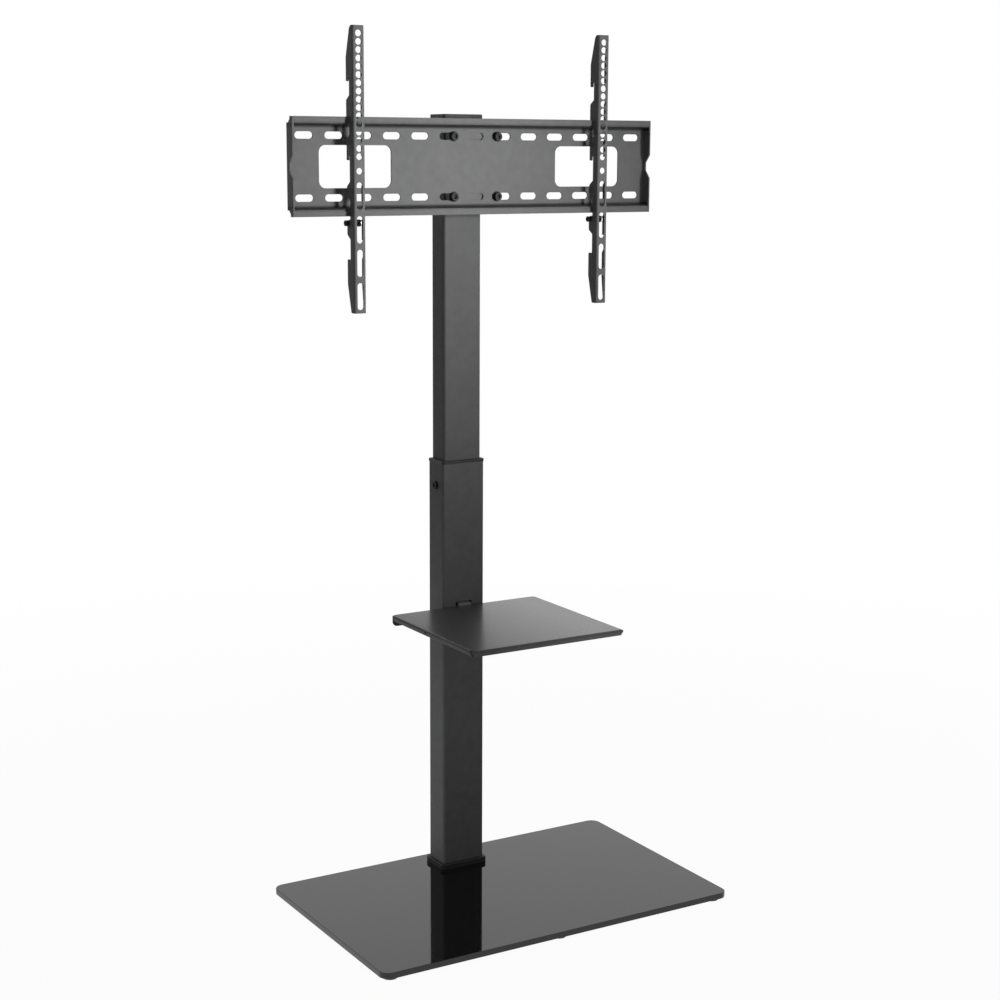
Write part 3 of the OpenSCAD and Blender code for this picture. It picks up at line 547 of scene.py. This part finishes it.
lowerTube = {"wall": 2 * mm, "corner": 4 * mm, "edge": 0.4 * mm, "lockHole": 4.25 * mm,
             "slotLength": 31 * mm, "slotHeight": 7.5 * mm, "fingerAboveSlot": 6 * mm,
             "insertHole": 4.02 * mm, "insertAcross": 20 * mm}
upperTube = {"wall": 2 * mm, "corner": 4 * mm, "edge": 0.4 * mm, "slotRadius": 4.3 * mm}
guideRim = {"corner": 5 * mm, "topEdge": 1.8 * mm, "clearance": 0.3 * mm, "height": 5 * mm,
            "sleeveWall": 0.02 * mm, "sleeveCorner": 2 * mm, "sleeveOverlap": 1 * mm, "edge": 0.35 * mm}
tubeCap = {"corner": 4 * mm, "topEdge": 1.7 * mm, "roof": 2.5 * mm, "clearance": 0.02 * mm,
           "edge": 0.4 * mm}


def tube(low, high, corner, wall):
    # Rounded tube: both ends are inset by the wall and bridged through
    bm = roundedBlock(low, high, corner)
    ends = [f for f in bm.faces if abs(f.normal.z) > along]
    bmesh.ops.inset_region(bm, faces=ends, thickness=wall, use_even_offset=True)
    bmesh.ops.delete(bm, geom=ends, context="FACES_ONLY")
    bmesh.ops.bridge_loops(bm, edges=[e for e in bm.edges if e.is_boundary])
    bmesh.ops.recalc_face_normals(bm, faces=bm.faces[:])
    return bm


def makeLowerTube():
    low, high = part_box("lower_tube")
    x = columnMiddle()[0]
    shell = tube(low, high, lowerTube["corner"], lowerTube["wall"])
    frontWall = (low.y - overrun, low.y + lowerTube["wall"] + overrun)
    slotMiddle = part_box("shelf_tray")[1].z - lowerTube["fingerAboveSlot"]
    tools = [rod(middleOf("height_lock_screw"), lowerTube["lockHole"], "x", low.x - overrun,
                 low.x + lowerTube["wall"] + overrun),
             oblong((x, 0, slotMiddle), lowerTube["slotLength"], lowerTube["slotHeight"], "x", "y",
                    *frontWall)]
    tools += [rod((x + s * lowerTube["insertAcross"], 0, middleOf("shelf_inserts").z),
                  lowerTube["insertHole"], "y", *frontWall) for s in (-1, 1)]
    shell = cut(shell, *tools)
    soften(shell, lowerTube["edge"])
    addPiece("lowerTube", shell, "base", "lower_tube")


def makeUpperTube():
    low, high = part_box("upper_tube")
    lock = middleOf("height_lock_screw")
    travel = [j for j in frame["joints"] if j["name"] == "height_slide"][0]["range_m"][1]
    shell = tube(low, high, upperTube["corner"], upperTube["wall"])
    radius = upperTube["slotRadius"]
    slotMiddle = (0, lock.y, lock.z - travel / 2)
    slot = oblong(slotMiddle, travel + 2 * radius, 2 * radius, "z", "x", low.x - overrun,
                  low.x + upperTube["wall"] + overrun)
    shell = cut(shell, slot)
    soften(shell, upperTube["edge"])
    addPiece("upperTube", shell, "mast", "upper_tube")


def makeGuideBush():
    low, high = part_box("guide_bush")
    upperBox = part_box("upper_tube")
    rimBottom = high.z - guideRim["height"]
    rim = roundedBlock(*withHeights(low, high, rimBottom, high.z), guideRim["corner"])
    roundOver(rim, edgesAt(rim, "z", high.z), guideRim["topEdge"], 5)
    inner = grown(*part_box("lower_tube"), -lowerTube["wall"] - guideRim["sleeveWall"])
    sleeve = roundedBlock(*withHeights(*inner, low.z, rimBottom + guideRim["sleeveOverlap"]),
                          guideRim["sleeveCorner"])
    hole = roundedBlock(*withHeights(*grown(*upperBox, guideRim["clearance"]), low.z - overrun,
                                     high.z + overrun), upperTube["corner"] + guideRim["clearance"])
    shank = rod(middleOf("height_lock_screw"), lowerTube["lockHole"], "x", low.x - overrun, upperBox[0].x)
    bush = cut(united(rim, sleeve), hole, shank)
    soften(bush, guideRim["edge"])
    addPiece("guideBush", bush, "base", "guide_bush")


def makeCap():
    low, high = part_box("top_cap")
    cap = roundedBlock(low, high, tubeCap["corner"])
    roundOver(cap, edgesAt(cap, "z", high.z), tubeCap["topEdge"], 5)
    inner = grown(*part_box("upper_tube"), tubeCap["clearance"])
    pocket = roundedBlock(*withHeights(*inner, low.z - overrun, high.z - tubeCap["roof"]),
                          upperTube["corner"])
    cap = cut(cap, pocket)
    soften(cap, tubeCap["edge"])
    addPiece("tubeCap", cap, "mast", "top_cap")


makeLowerTube()
makeUpperTube()
makeGuideBush()
makeCap()
print("column made")


# Wall plate: a web between two flanges with lips, and a cheek at each end

railPlate = {"sheet": 2.5 * mm, "lip": 12 * mm, "bend": 5.75 * mm, "innerBend": 3 * mm,
             "slotLength": 30 * mm, "slotHeight": 11 * mm, "slotPitch": 50 * mm, "slotCount": 13,
             "rowGap": 94.4 * mm, "windowWidth": 124 * mm, "windowHeight": 65 * mm,
             "windowCorner": 11 * mm, "windowPlace": 213 * mm, "edge": 0.4 * mm}
railCheek = {"endLip": 9.5 * mm, "notchDepth": 11 * mm, "notchFloor": 13 * mm, "notchMouth": 38 * mm,
             "corner": 0.8 * mm, "bend": 5 * mm, "bendMargin": 0.5 * mm, "overlap": 0.4 * mm}
# Painted shade in the rail's inside bends: how far it reaches from each flange and how dark it is
railCreaseShade = {"inside": 5.5 * mm, "fade": 3 * mm, "outside": 1.4 * mm, "outsideFade": 1 * mm,
              "lipFrom": 0.3 * mm, "lipTo": 2.4 * mm, "strength": 0.8}


def railHeights():
    # Heights over the rail's middle of a flange's outer face and of a lip's end
    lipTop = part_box("wall_plate")[1].z - middleOf("wall_plate").z
    return lipTop - railPlate["lip"], lipTop


def mirrored(half, middle):
    # Whole outline from its upper half, whose points are (y, height over the middle)
    return [(y, middle + z) for y, z in half] + [(y, middle - z) for y, z in reversed(half)]


def makeRailSheet():
    low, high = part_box("wall_plate")
    middle = middleOf("wall_plate")
    flange, lipTop = railHeights()
    sheet, back, front = railPlate["sheet"], high.y, low.y
    outer, inner = railPlate["bend"], railPlate["innerBend"]
    half = [(back, flange + sheet), (front + sheet, flange + sheet), (front + sheet, lipTop),
            (front, lipTop), (front, flange), (back - sheet, flange)]
    rail = prism(mirrored(half, middle.z), "x", low.x + sheet / 2, high.x - sheet / 2)
    bends = {(front, flange): outer, (front + sheet, flange + sheet): inner,
             (back, flange + sheet): outer, (back - sheet, flange): inner}
    for (y, z), radius in bends.items():
        found = [e for e in edgesAlong(rail, "x")
                 if all(abs(v.co.y - y) < nearly and abs(abs(v.co.z - middle.z) - z) < nearly
                        for v in e.verts)]
        roundOver(rail, found, radius, 5)
    return rail


def makeRailCheek(side):
    # Notched end plate, and the bent corner that joins it to the web
    low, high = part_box("wall_plate")
    middle = middleOf("wall_plate")
    flange, lipTop = railHeights()
    sheet, back, front = railPlate["sheet"], high.y, low.y
    start = low.x if side < 0 else high.x - sheet
    inner = start + sheet if side < 0 else start
    lipRear = front + railCheek["endLip"]
    chamfer = (back - lipRear) / 2
    half = [(back, flange + sheet), (back - chamfer, flange + sheet), (lipRear, flange + sheet + chamfer),
            (lipRear, lipTop), (front, lipTop), (front, railCheek["notchMouth"] / 2),
            (front + railCheek["notchDepth"], railCheek["notchFloor"] / 2)]
    cheek = prism(mirrored(half, middle.z), "x", start, start + sheet)
    corners = [e for e in edgesAlong(cheek, "x") if e.verts[0].co.y < lipRear + nearly
               and abs(e.verts[0].co.z - middle.z) < lipTop - nearly]
    roundOver(cheek, corners, railCheek["corner"], 3)
    bend, margin, overlap = railCheek["bend"], railCheek["bendMargin"], railCheek["overlap"]
    core, rear, web = inner + side * sheet / 2, back - sheet, back - sheet / 2
    near, reach = rear - bend - margin, inner - side * (bend + margin)
    outline = [(core, near), (inner, near), (inner, rear), (reach, rear), (reach, web), (core, web)]
    corner = prism(outline, "z", middle.z - flange - overlap, middle.z + flange + overlap)
    roundOver(corner, [e for e in edgesAlong(corner, "z") if not e.is_convex], bend, 6)
    return cheek, corner


def railOpenings():
    # Cutters for two rows of slots and the two windows
    r = railPlate
    middle, back = middleOf("wall_plate"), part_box("wall_plate")[1].y
    through = (back - r["sheet"] - overrun, back + overrun)
    tools = []
    for i in range(r["slotCount"]):
        x = middle.x + (i - (r["slotCount"] - 1) / 2) * r["slotPitch"]
        for s in (-1, 1):
            tools.append(oblong((x, 0, middle.z + s * r["rowGap"] / 2), r["slotLength"], r["slotHeight"],
                                "x", "y", *through))
    width, height = r["windowWidth"] / 2, r["windowHeight"] / 2
    for s in (-1, 1):
        x = middle.x + s * r["windowPlace"]
        tools.append(roundedBlock((x - width, through[0], middle.z - height),
                                  (x + width, through[1], middle.z + height), r["windowCorner"], 10, "y"))
    return tools


def makeRailCoatWithPaintedShade():
    # The grey coat with painted shade, a darker colour, in the inside bends
    c = railCreaseShade
    middle, front, flange = middleOf("wall_plate"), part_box("wall_plate")[0].y, railHeights()[0]
    near, far = flange - c["inside"], flange + c["outside"]
    return makePowderCoat("railCoatPaintedShade", **greyCoat, creaseShade={
        "middle": middle.z, "start": (near, near + c["fade"]), "end": (far, far + c["outsideFade"]),
        "depth": (front + c["lipFrom"], front + c["lipTo"]), "strength": c["strength"]})


def makeWallPlate():
    rail = makeRailSheet()
    for side in (-1, 1):
        rail = united(rail, *makeRailCheek(side))
    rail = cut(rail, *railOpenings())
    soften(rail, railPlate["edge"])
    bmesh.ops.dissolve_degenerate(rail, dist=nearly, edges=rail.edges[:])
    addPiece("railPlate", rail, "mast", "wall_plate", finish=makeRailCoatWithPaintedShade())


makeWallPlate()
print("wall plate made")


# Arms: folded channels whose left flange has the hooks

armChannel = {"sheet": 2 * mm, "bend": 3 * mm, "innerBend": 1 * mm, "edge": 0.3 * mm, "corner": 2 * mm,
              "hole": 5 * mm, "pitch": 12.2 * mm, "count": 16, "first": 11.8 * mm, "pinHole": 2.75 * mm,
              "slotLength": 41.5 * mm, "slotPitch": 51 * mm, "slotCount": 4, "slotFirst": 26 * mm}
armHooks = {"topDepth": 8 * mm, "topStep": 4 * mm, "taperDepth": 12 * mm, "taperTop": 46 * mm,
            "taperBottom": 45 * mm, "bottomDepth": 12.5 * mm, "shallow": 13.7 * mm, "slit": 3.4 * mm,
            "pitch": 59 * mm, "finger": 6.6 * mm, "seat": 0.3 * mm, "lift": 6.72 * mm,
            "recess": 27 * mm, "slope": 7 * mm, "over": 12 * mm, "plain": 11 * mm, "plainLow": 6 * mm}


def hookedOutline(front, deep, lipTop, lipDrop, flangeDrop, top, bottom):
    # Side view of an arm's hooked flange as (y, z), counted down from the rail's upper lip
    h = armHooks
    shallow, slope = front + h["shallow"], h["slope"]
    slit = shallow + h["slit"]
    points = [(front, top), (front + h["topDepth"], top), (front + h["taperDepth"], top - h["topStep"]),
              (deep, top - h["taperTop"])]
    lows = [h["pitch"] - h["recess"] - slope, -h["recess"] - slope, h["pitch"] - lipDrop - h["lift"] - slope]
    for step, low in zip((1, 0, -1), lows):
        seat = lipTop + step * h["pitch"] + h["seat"]
        points += [(deep, seat - h["finger"]), (slit, seat - h["finger"]), (slit, seat), (shallow, seat),
                   (shallow, lipTop + low + slope), (deep, lipTop + low)]
    for step in (0, -1):
        seat = lipTop + step * h["pitch"]
        flangeEnd, lipEnd = seat - flangeDrop + h["over"], seat - lipDrop - h["lift"]
        points += [(deep, flangeEnd + slope), (shallow, flangeEnd), (shallow, lipEnd), (deep, lipEnd)]
    return points + [(deep, bottom + h["taperBottom"]), (front + h["bottomDepth"], bottom), (front, bottom)]


def plainOutline(front, lipTop, lipDrop, top, bottom):
    # Side view of an arm's plain flange, shallow beside the recesses of the hooked one, without its front
    h = armHooks
    deep, shallow, slope = front + h["plain"], front + h["plainLow"], h["slope"]
    lipLow = -lipDrop - h["lift"]
    recesses = [(h["pitch"], h["pitch"] - h["recess"] - slope),
                (0, -h["recess"] - slope),
                (-h["pitch"], h["pitch"] + lipLow - slope),
                (lipLow + h["pitch"] / 2, lipLow),
                (lipLow - h["pitch"] / 2, lipLow - h["pitch"])]
    points = [(shallow, top), (deep, top - h["taperTop"])]
    for high, low in recesses:
        points += [(deep, lipTop + high), (shallow, lipTop + high), (shallow, lipTop + low + slope),
                   (deep, lipTop + low)]
    return points + [(deep, bottom + h["taperBottom"]), (shallow, bottom)]


def flangeTool(outline, low, high, convex):
    # Side view as a solid along X, with its corners of one kind rounded
    side = prism(outline, "x", low, high)
    front = min(point[0] for point in outline)
    corners = [e for e in edgesAlong(side, "x") if e.is_convex == convex
               and e.verts[0].co.y > front + armHooks["plainLow"]]
    roundOver(side, corners, armChannel["corner"], 4)
    return side


def channelBlank(low, high):
    # Folded channel, open to the back, longer and deeper than the arm
    sheet, far = armChannel["sheet"], high.y + overrun
    section = [(low.x, far), (low.x, low.y), (high.x, low.y), (high.x, far), (high.x - sheet, far),
               (high.x - sheet, low.y + sheet), (low.x + sheet, low.y + sheet), (low.x + sheet, far)]
    channel = prism(section, "z", low.z - overrun, high.z + overrun)
    for y, radius in ((low.y, armChannel["bend"]), (low.y + sheet, armChannel["innerBend"])):
        found = [e for e in edgesAlong(channel, "z") if abs(e.verts[0].co.y - y) < nearly]
        roundOver(channel, found, radius, 5)
    return channel


def withFlanges(channel, low, high):
    # Trims the blank to the side views of its two flanges
    plateLow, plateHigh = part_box("wall_plate")
    lipDrop = plateHigh.z - plateLow.z
    hooked = hookedOutline(low.y, high.y, plateHigh.z, lipDrop, lipDrop - railPlate["lip"], high.z, low.z)
    hooked = [(low.y - overrun if y == low.y else y, z) for y, z in hooked]
    channel = combined(channel, flangeTool(hooked, low.x - overrun, high.x + overrun, True), "INTERSECT")
    far, shallow = high.y + overrun, low.y + armHooks["plainLow"]
    plain = ([(far, high.z + overrun), (shallow, high.z + overrun)]
             + plainOutline(low.y, plateHigh.z, lipDrop, high.z, low.z)
             + [(shallow, low.z - overrun), (far, low.z - overrun)])
    return cut(channel, flangeTool(plain, high.x - armChannel["bend"], high.x + overrun, False))


def makeArm(name, node, body):
    a = armChannel
    low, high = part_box(node)
    x = (low.x + high.x) / 2
    channel = withFlanges(channelBlank(low, high), low, high)
    through = (low.y - overrun, low.y + a["sheet"] + overrun)
    holes = [high.z - a["first"] - i * a["pitch"] for i in range(a["count"])] + [(low.z + high.z) / 2]
    slots = [low.z + a["slotFirst"] + i * a["slotPitch"] for i in range(a["slotCount"])]
    tools = [rod((x, 0, z), a["hole"], "y", *through) for z in holes]
    tools += [oblong((x, 0, z), a["slotLength"], 2 * a["hole"], "z", "y", *through) for z in slots]
    tools.append(rod(middleOf(node.replace("arm", "lock_sleeve")), a["pinHole"], "x", low.x - overrun, x))
    heights = sorted(holes + slots)
    for below, above in zip(heights, heights[1:]):
        # A seam between two holes, so that no face has more than one hole in it
        bmesh.ops.bisect_plane(channel, geom=channel.verts[:] + channel.edges[:] + channel.faces[:],
                               plane_co=(0, 0, (below + above) / 2), plane_no=(0, 0, 1))
    channel = cut(channel, *tools)
    soften(channel, a["edge"])
    addPiece(name, channel, body, node)


makeArm("leftArm", "left_arm", "left_arm_body")
makeArm("rightArm", "right_arm", "right_arm_body")
print("arms made")


# Shelf: folded tray with a rear flange and a hook

tray = {"sheet": 2 * mm, "fold": 10 * mm, "lean": 4 * mm, "bend": 4.5 * mm, "innerBend": 2.5 * mm,
        "backCorner": 10 * mm, "flange": 20 * mm, "flangeInset": 5 * mm, "flangeCorner": 8 * mm,
        "wall": 2.3 * mm, "seat": 0.02 * mm, "hole": 2.75 * mm, "holeAcross": 20 * mm,
        "tieHole": 2 * mm, "tiePlace": 118 * mm, "notchWidth": 7 * mm, "notchDepth": 13 * mm,
        "edge": 0.3 * mm}
trayHook = {"width": 24 * mm, "rise": 2.75 * mm, "finger": 7 * mm, "step": 5 * mm, "bend": 0.6 * mm}
shelfCoat = {"shade": 0.048, "roughness": 0.45, "specular": 0.1}
shelfShine = {"levelFrom": 1.5 * mm, "levelTo": 0.3 * mm, "frontFrom": 5 * mm, "frontTo": 10 * mm,
              "frontDrop": 12 * mm, "left": -130 * mm, "right": 100 * mm, "leftShare": 0.36,
              "rightShare": 0.92, "roughness": 0.22}


def makeShelfCoat(front, top):
    # Glossier on the shelf's face, more so to the right
    s = shelfShine
    return makePowderCoat("shelfCoat", **shelfCoat, shine={
        "level": (top - s["levelFrom"], top - s["levelTo"]), "frontDrop": s["frontDrop"],
        "front": (front + s["frontFrom"], front + s["frontTo"]),
        "across": (s["left"], s["right"], s["leftShare"], s["rightShare"]), "roughness": s["roughness"]})


def trayBody(low, high, inset, start, stop, corner, bend):
    # Block whose front and sides lean in from the top, between two depths under the shelf's face
    slope = tray["lean"] / tray["fold"]
    bm = block((low.x, low.y, high.z - stop), (high.x, high.y, high.z - start))
    middle = (low.x + high.x) / 2
    for v in bm.verts:
        shift = inset + slope * (high.z - v.co.z)
        v.co.x += shift if v.co.x < middle else -shift
        v.co.y += shift if v.co.y < (low.y + high.y) / 2 else -inset
    back = [e for e in edgesAt(bm, "y", high.y - inset)
            if abs(e.verts[0].co.z - e.verts[1].co.z) > nearly]
    roundOver(bm, back, corner, 8)
    roundOver(bm, edgesAt(bm, "z", high.z - start), bend, 6)
    return bm


def makeHook(middle, back, top, wallBack):
    # Tab that goes through the column's slot and turns up behind its wall
    t, h = tray, trayHook
    root, bottom = top - t["sheet"] / 2, top + h["rise"]
    points = [(back - h["step"], root), (back, root), (back, bottom), (wallBack + t["sheet"], bottom),
              (wallBack + t["sheet"], bottom + h["finger"]), (wallBack, bottom + h["finger"]),
              (wallBack, bottom + t["sheet"]), (back - t["sheet"], bottom + t["sheet"])]
    hook = prism(points, "x", middle - h["width"] / 2, middle + h["width"] / 2)
    bends = [e for e in edgesAlong(hook, "x") if e.is_convex and e.verts[0].co.z > root + nearly]
    roundOver(hook, bends, h["bend"], 3)
    return hook


def trayOpenings(low, middle, back, top):
    # Cutters for the left front notch, the tie hole in the left fold and the screw holes in the flange
    t = tray
    notch = prism([(low.x - overrun, low.y - overrun), (low.x + t["notchWidth"], low.y - overrun),
                   (low.x + t["notchWidth"], low.y + t["notchDepth"] / 2), (low.x, low.y + t["notchDepth"]),
                   (low.x - overrun, low.y + t["notchDepth"])], "z", top - t["fold"] - overrun, top + overrun)
    tie = rod((0, back - t["tiePlace"], top - t["fold"] / 2), t["tieHole"], "x", low.x - overrun,
              low.x + t["lean"] + t["sheet"] + overrun, 24)
    screws = [rod((middle + s * t["holeAcross"], 0, low.z + t["flange"] / 2), t["hole"], "y",
                  back - t["sheet"] - overrun, back + overrun, 28) for s in (-1, 1)]
    return [notch, tie, *screws]


def makeShelf():
    t = tray
    low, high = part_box("shelf_tray")
    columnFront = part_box("lower_tube")[0].y
    back, top, middle = columnFront - t["seat"], low.z + t["flange"], (low.x + high.x) / 2
    bodyHigh = Vector((high.x, back, top))
    shell = trayBody(low, bodyHigh, 0, 0, t["fold"], t["backCorner"], t["bend"])
    hollow = trayBody(low, bodyHigh, t["sheet"], t["sheet"], t["fold"] + overrun,
                      t["backCorner"] - t["sheet"], t["innerBend"])
    shell = cut(shell, hollow)
    flange = block((low.x + t["flangeInset"], back - t["sheet"], low.z),
                   (high.x - t["flangeInset"], back, top - t["sheet"]))
    lowCorners = [e for e in edgesAlong(flange, "y") if e.verts[0].co.z < low.z + nearly]
    roundOver(flange, lowCorners, t["flangeCorner"], 8)
    shell = united(shell, flange, makeHook(middle, back, top, columnFront + t["wall"]))
    shell = cut(shell, *trayOpenings(low, middle, back, top))
    soften(shell, t["edge"])
    addPiece("shelfTray", shell, "base", "shelf_tray", finish=makeShelfCoat(low.y, top))


makeShelf()
print("shelf made")


# Bracket and fasteners keep their solids' shape, with their edges taken off

softParts = {
    "standoff_bracket": {"body": "mast", "edge": 0.4 * mm, "segments": 2},
    "plate_bolts": {"body": "mast", "edge": 0.5 * mm, "segments": 3},
    "plate_washers": {"body": "mast", "edge": 0.3 * mm, "segments": 2},
    "plate_nuts": {"body": "mast", "edge": 0.4 * mm, "segments": 2},
    "shelf_screws": {"body": "base", "edge": 0.4 * mm, "segments": 2},
    "height_lock_screw": {"body": "height_lock", "edge": 0.8 * mm, "segments": 3}}
for side in ("left", "right"):
    arm = side + "_arm_body"
    softParts[side + "_lock_screw"] = {"body": side + "_lock", "edge": 0.6 * mm, "segments": 3}
    softParts[side + "_lock_sleeve"] = {"body": arm, "edge": 0.3 * mm, "segments": 2}
    softParts[side + "_lock_nut"] = {"body": arm, "edge": 0.3 * mm, "segments": 2}


def camelName(node):
    first, *others = node.split("_")
    return first + "".join(word.capitalize() for word in others)


for node, facts in softParts.items():
    solid = copyOf(node)
    soften(solid, facts["edge"], facts["segments"])
    addPiece(camelName(node), solid, facts["body"], node)
print("fasteners made")


# Floor, world, lamps and camera

floorDisc = {"radius": 14.0, "shade": 0.86, "fibre": 3 * mm, "dark": 0.98, "light": 1.02,
             "clearFrom": 0.9, "clearTo": 2.6, "keep": 0.035}


def makeFloor():
    bm = bmesh.new()
    bmesh.ops.create_circle(bm, cap_ends=True, segments=96, radius=floorDisc["radius"])
    mesh = bpy.data.meshes.new("floor")
    bm.to_mesh(mesh)
    bm.free()
    paper = Finish("floorPaper")
    shade = floorDisc["shade"]
    fibres = paper.noise(floorDisc["fibre"], 3.0)
    paper.set(colour=paper.mix(fibres, grey(shade * floorDisc["dark"]), grey(shade * floorDisc["light"])),
              roughness=0.9, specular=0.1)
    distance = paper.out("ShaderNodeVectorMath", {"operation": "LENGTH"}, {0: paper.place}, "Value")
    fade = paper.ramp(distance, floorDisc["clearFrom"], floorDisc["clearTo"], floorDisc["keep"], 0.0)
    rays = paper.node("ShaderNodeLightPath", {}, {})
    camera = Wire(paper, rays.outputs["Is Camera Ray"])
    glossy = Wire(paper, rays.outputs["Is Glossy Ray"])
    white = paper.node("ShaderNodeEmission", {}, {"Color": (1, 1, 1, 1), "Strength": 1.0})
    share = (camera + glossy) * (1 - fade)
    blend = paper.node("ShaderNodeMixShader", {}, {0: share})
    links = paper.tree.links
    links.new(paper.shader.outputs[0], blend.inputs[1])
    links.new(white.outputs[0], blend.inputs[2])
    links.new(blend.outputs[0], paper.tree.nodes["Material Output"].inputs["Surface"])
    mesh.materials.append(paper.material)
    disc = bpy.data.objects.new("floor", mesh)
    bpy.context.scene.collection.objects.link(disc)


worldLight = {"ambient": 0.12, "seen": 1.0}


def makeWorld():
    world = bpy.data.worlds.new("studio")
    world.use_nodes = True
    bpy.context.scene.world = world
    tree = world.node_tree
    background = tree.nodes["Background"]
    background.inputs["Color"].default_value = (1, 1, 1, 1)
    rays = tree.nodes.new("ShaderNodeLightPath")
    total = rays.outputs["Is Camera Ray"]
    for name in ("Is Glossy Ray", "Is Transmission Ray"):
        either = tree.nodes.new("ShaderNodeMath")
        either.operation = "MAXIMUM"
        tree.links.new(total, either.inputs[0])
        tree.links.new(rays.outputs[name], either.inputs[1])
        total = either.outputs[0]
    level = tree.nodes.new("ShaderNodeMapRange")
    tree.links.new(total, level.inputs["Value"])
    level.inputs["To Min"].default_value = worldLight["ambient"]
    level.inputs["To Max"].default_value = worldLight["seen"]
    tree.links.new(level.outputs[0], background.inputs["Strength"])


lamps = {
    "key": {"place": (0.65, -1.4, 1.2), "target": (-0.14, 0.09, 1.22), "size": 0.4, "spread": 46,
            "watts": 2.15},
    "front": {"place": (0.4, -1.5, 0.5), "target": (0.0, 0.12, 0.4), "size": 0.3, "spread": 36,
              "watts": 0.14},
    "left": {"place": (-1.1, 0.0, 0.35), "target": (-0.04, 0.15, 0.18), "size": 0.4, "spread": 50,
             "watts": 0.28},
    "top": {"place": (0.5, -0.3, 2.3), "target": (0.05, 0.0, 0.5), "size": 0.9, "spread": 180,
            "watts": 3.0},
    "back": {"place": (0.6, 1.2, 1.6), "target": (0.0, 0.1, 0.8), "size": 0.9, "spread": 180,
             "watts": 5.0}}


def lookFrom(place, target):
    turn = (Vector(target) - Vector(place)).to_track_quat("-Z", "Y")
    return Matrix.Translation(place) @ turn.to_matrix().to_4x4()


def makeLamps():
    for name, facts in lamps.items():
        light = bpy.data.lights.new(name, "AREA")
        light.shape = "DISK"
        light.size = facts["size"]
        light.spread = math.radians(facts["spread"])
        light.energy = facts["watts"]
        lamp = bpy.data.objects.new(name, light)
        lamp.matrix_world = lookFrom(facts["place"], facts["target"])
        lamp.visible_glossy = name == "key"  # the only lamp that the pieces mirror
        bpy.context.scene.collection.objects.link(lamp)


viewpoint = {"place": (-1.54354, -2.57217, 1.22765), "turn": -30.91, "down": 10.42, "roll": 0.24,
             "lens": 68.33, "sensor": 36.0}


def makeCamera():
    data = bpy.data.cameras.new("camera")
    data.lens = viewpoint["lens"]
    data.sensor_width = viewpoint["sensor"]
    camera = bpy.data.objects.new("camera", data)
    turn = Matrix.Rotation(math.radians(viewpoint["turn"]), 4, "Z")
    tilt = Matrix.Rotation(math.radians(90 - viewpoint["down"]), 4, "X")
    roll = Matrix.Rotation(math.radians(viewpoint["roll"]), 4, "Z")
    camera.matrix_world = Matrix.Translation(viewpoint["place"]) @ turn @ tilt @ roll
    bpy.context.scene.collection.objects.link(camera)
    bpy.context.scene.camera = camera


makeFloor()
makeWorld()
makeLamps()
makeCamera()
bpy.context.scene.view_settings.view_transform = "Standard"
print("studio made")
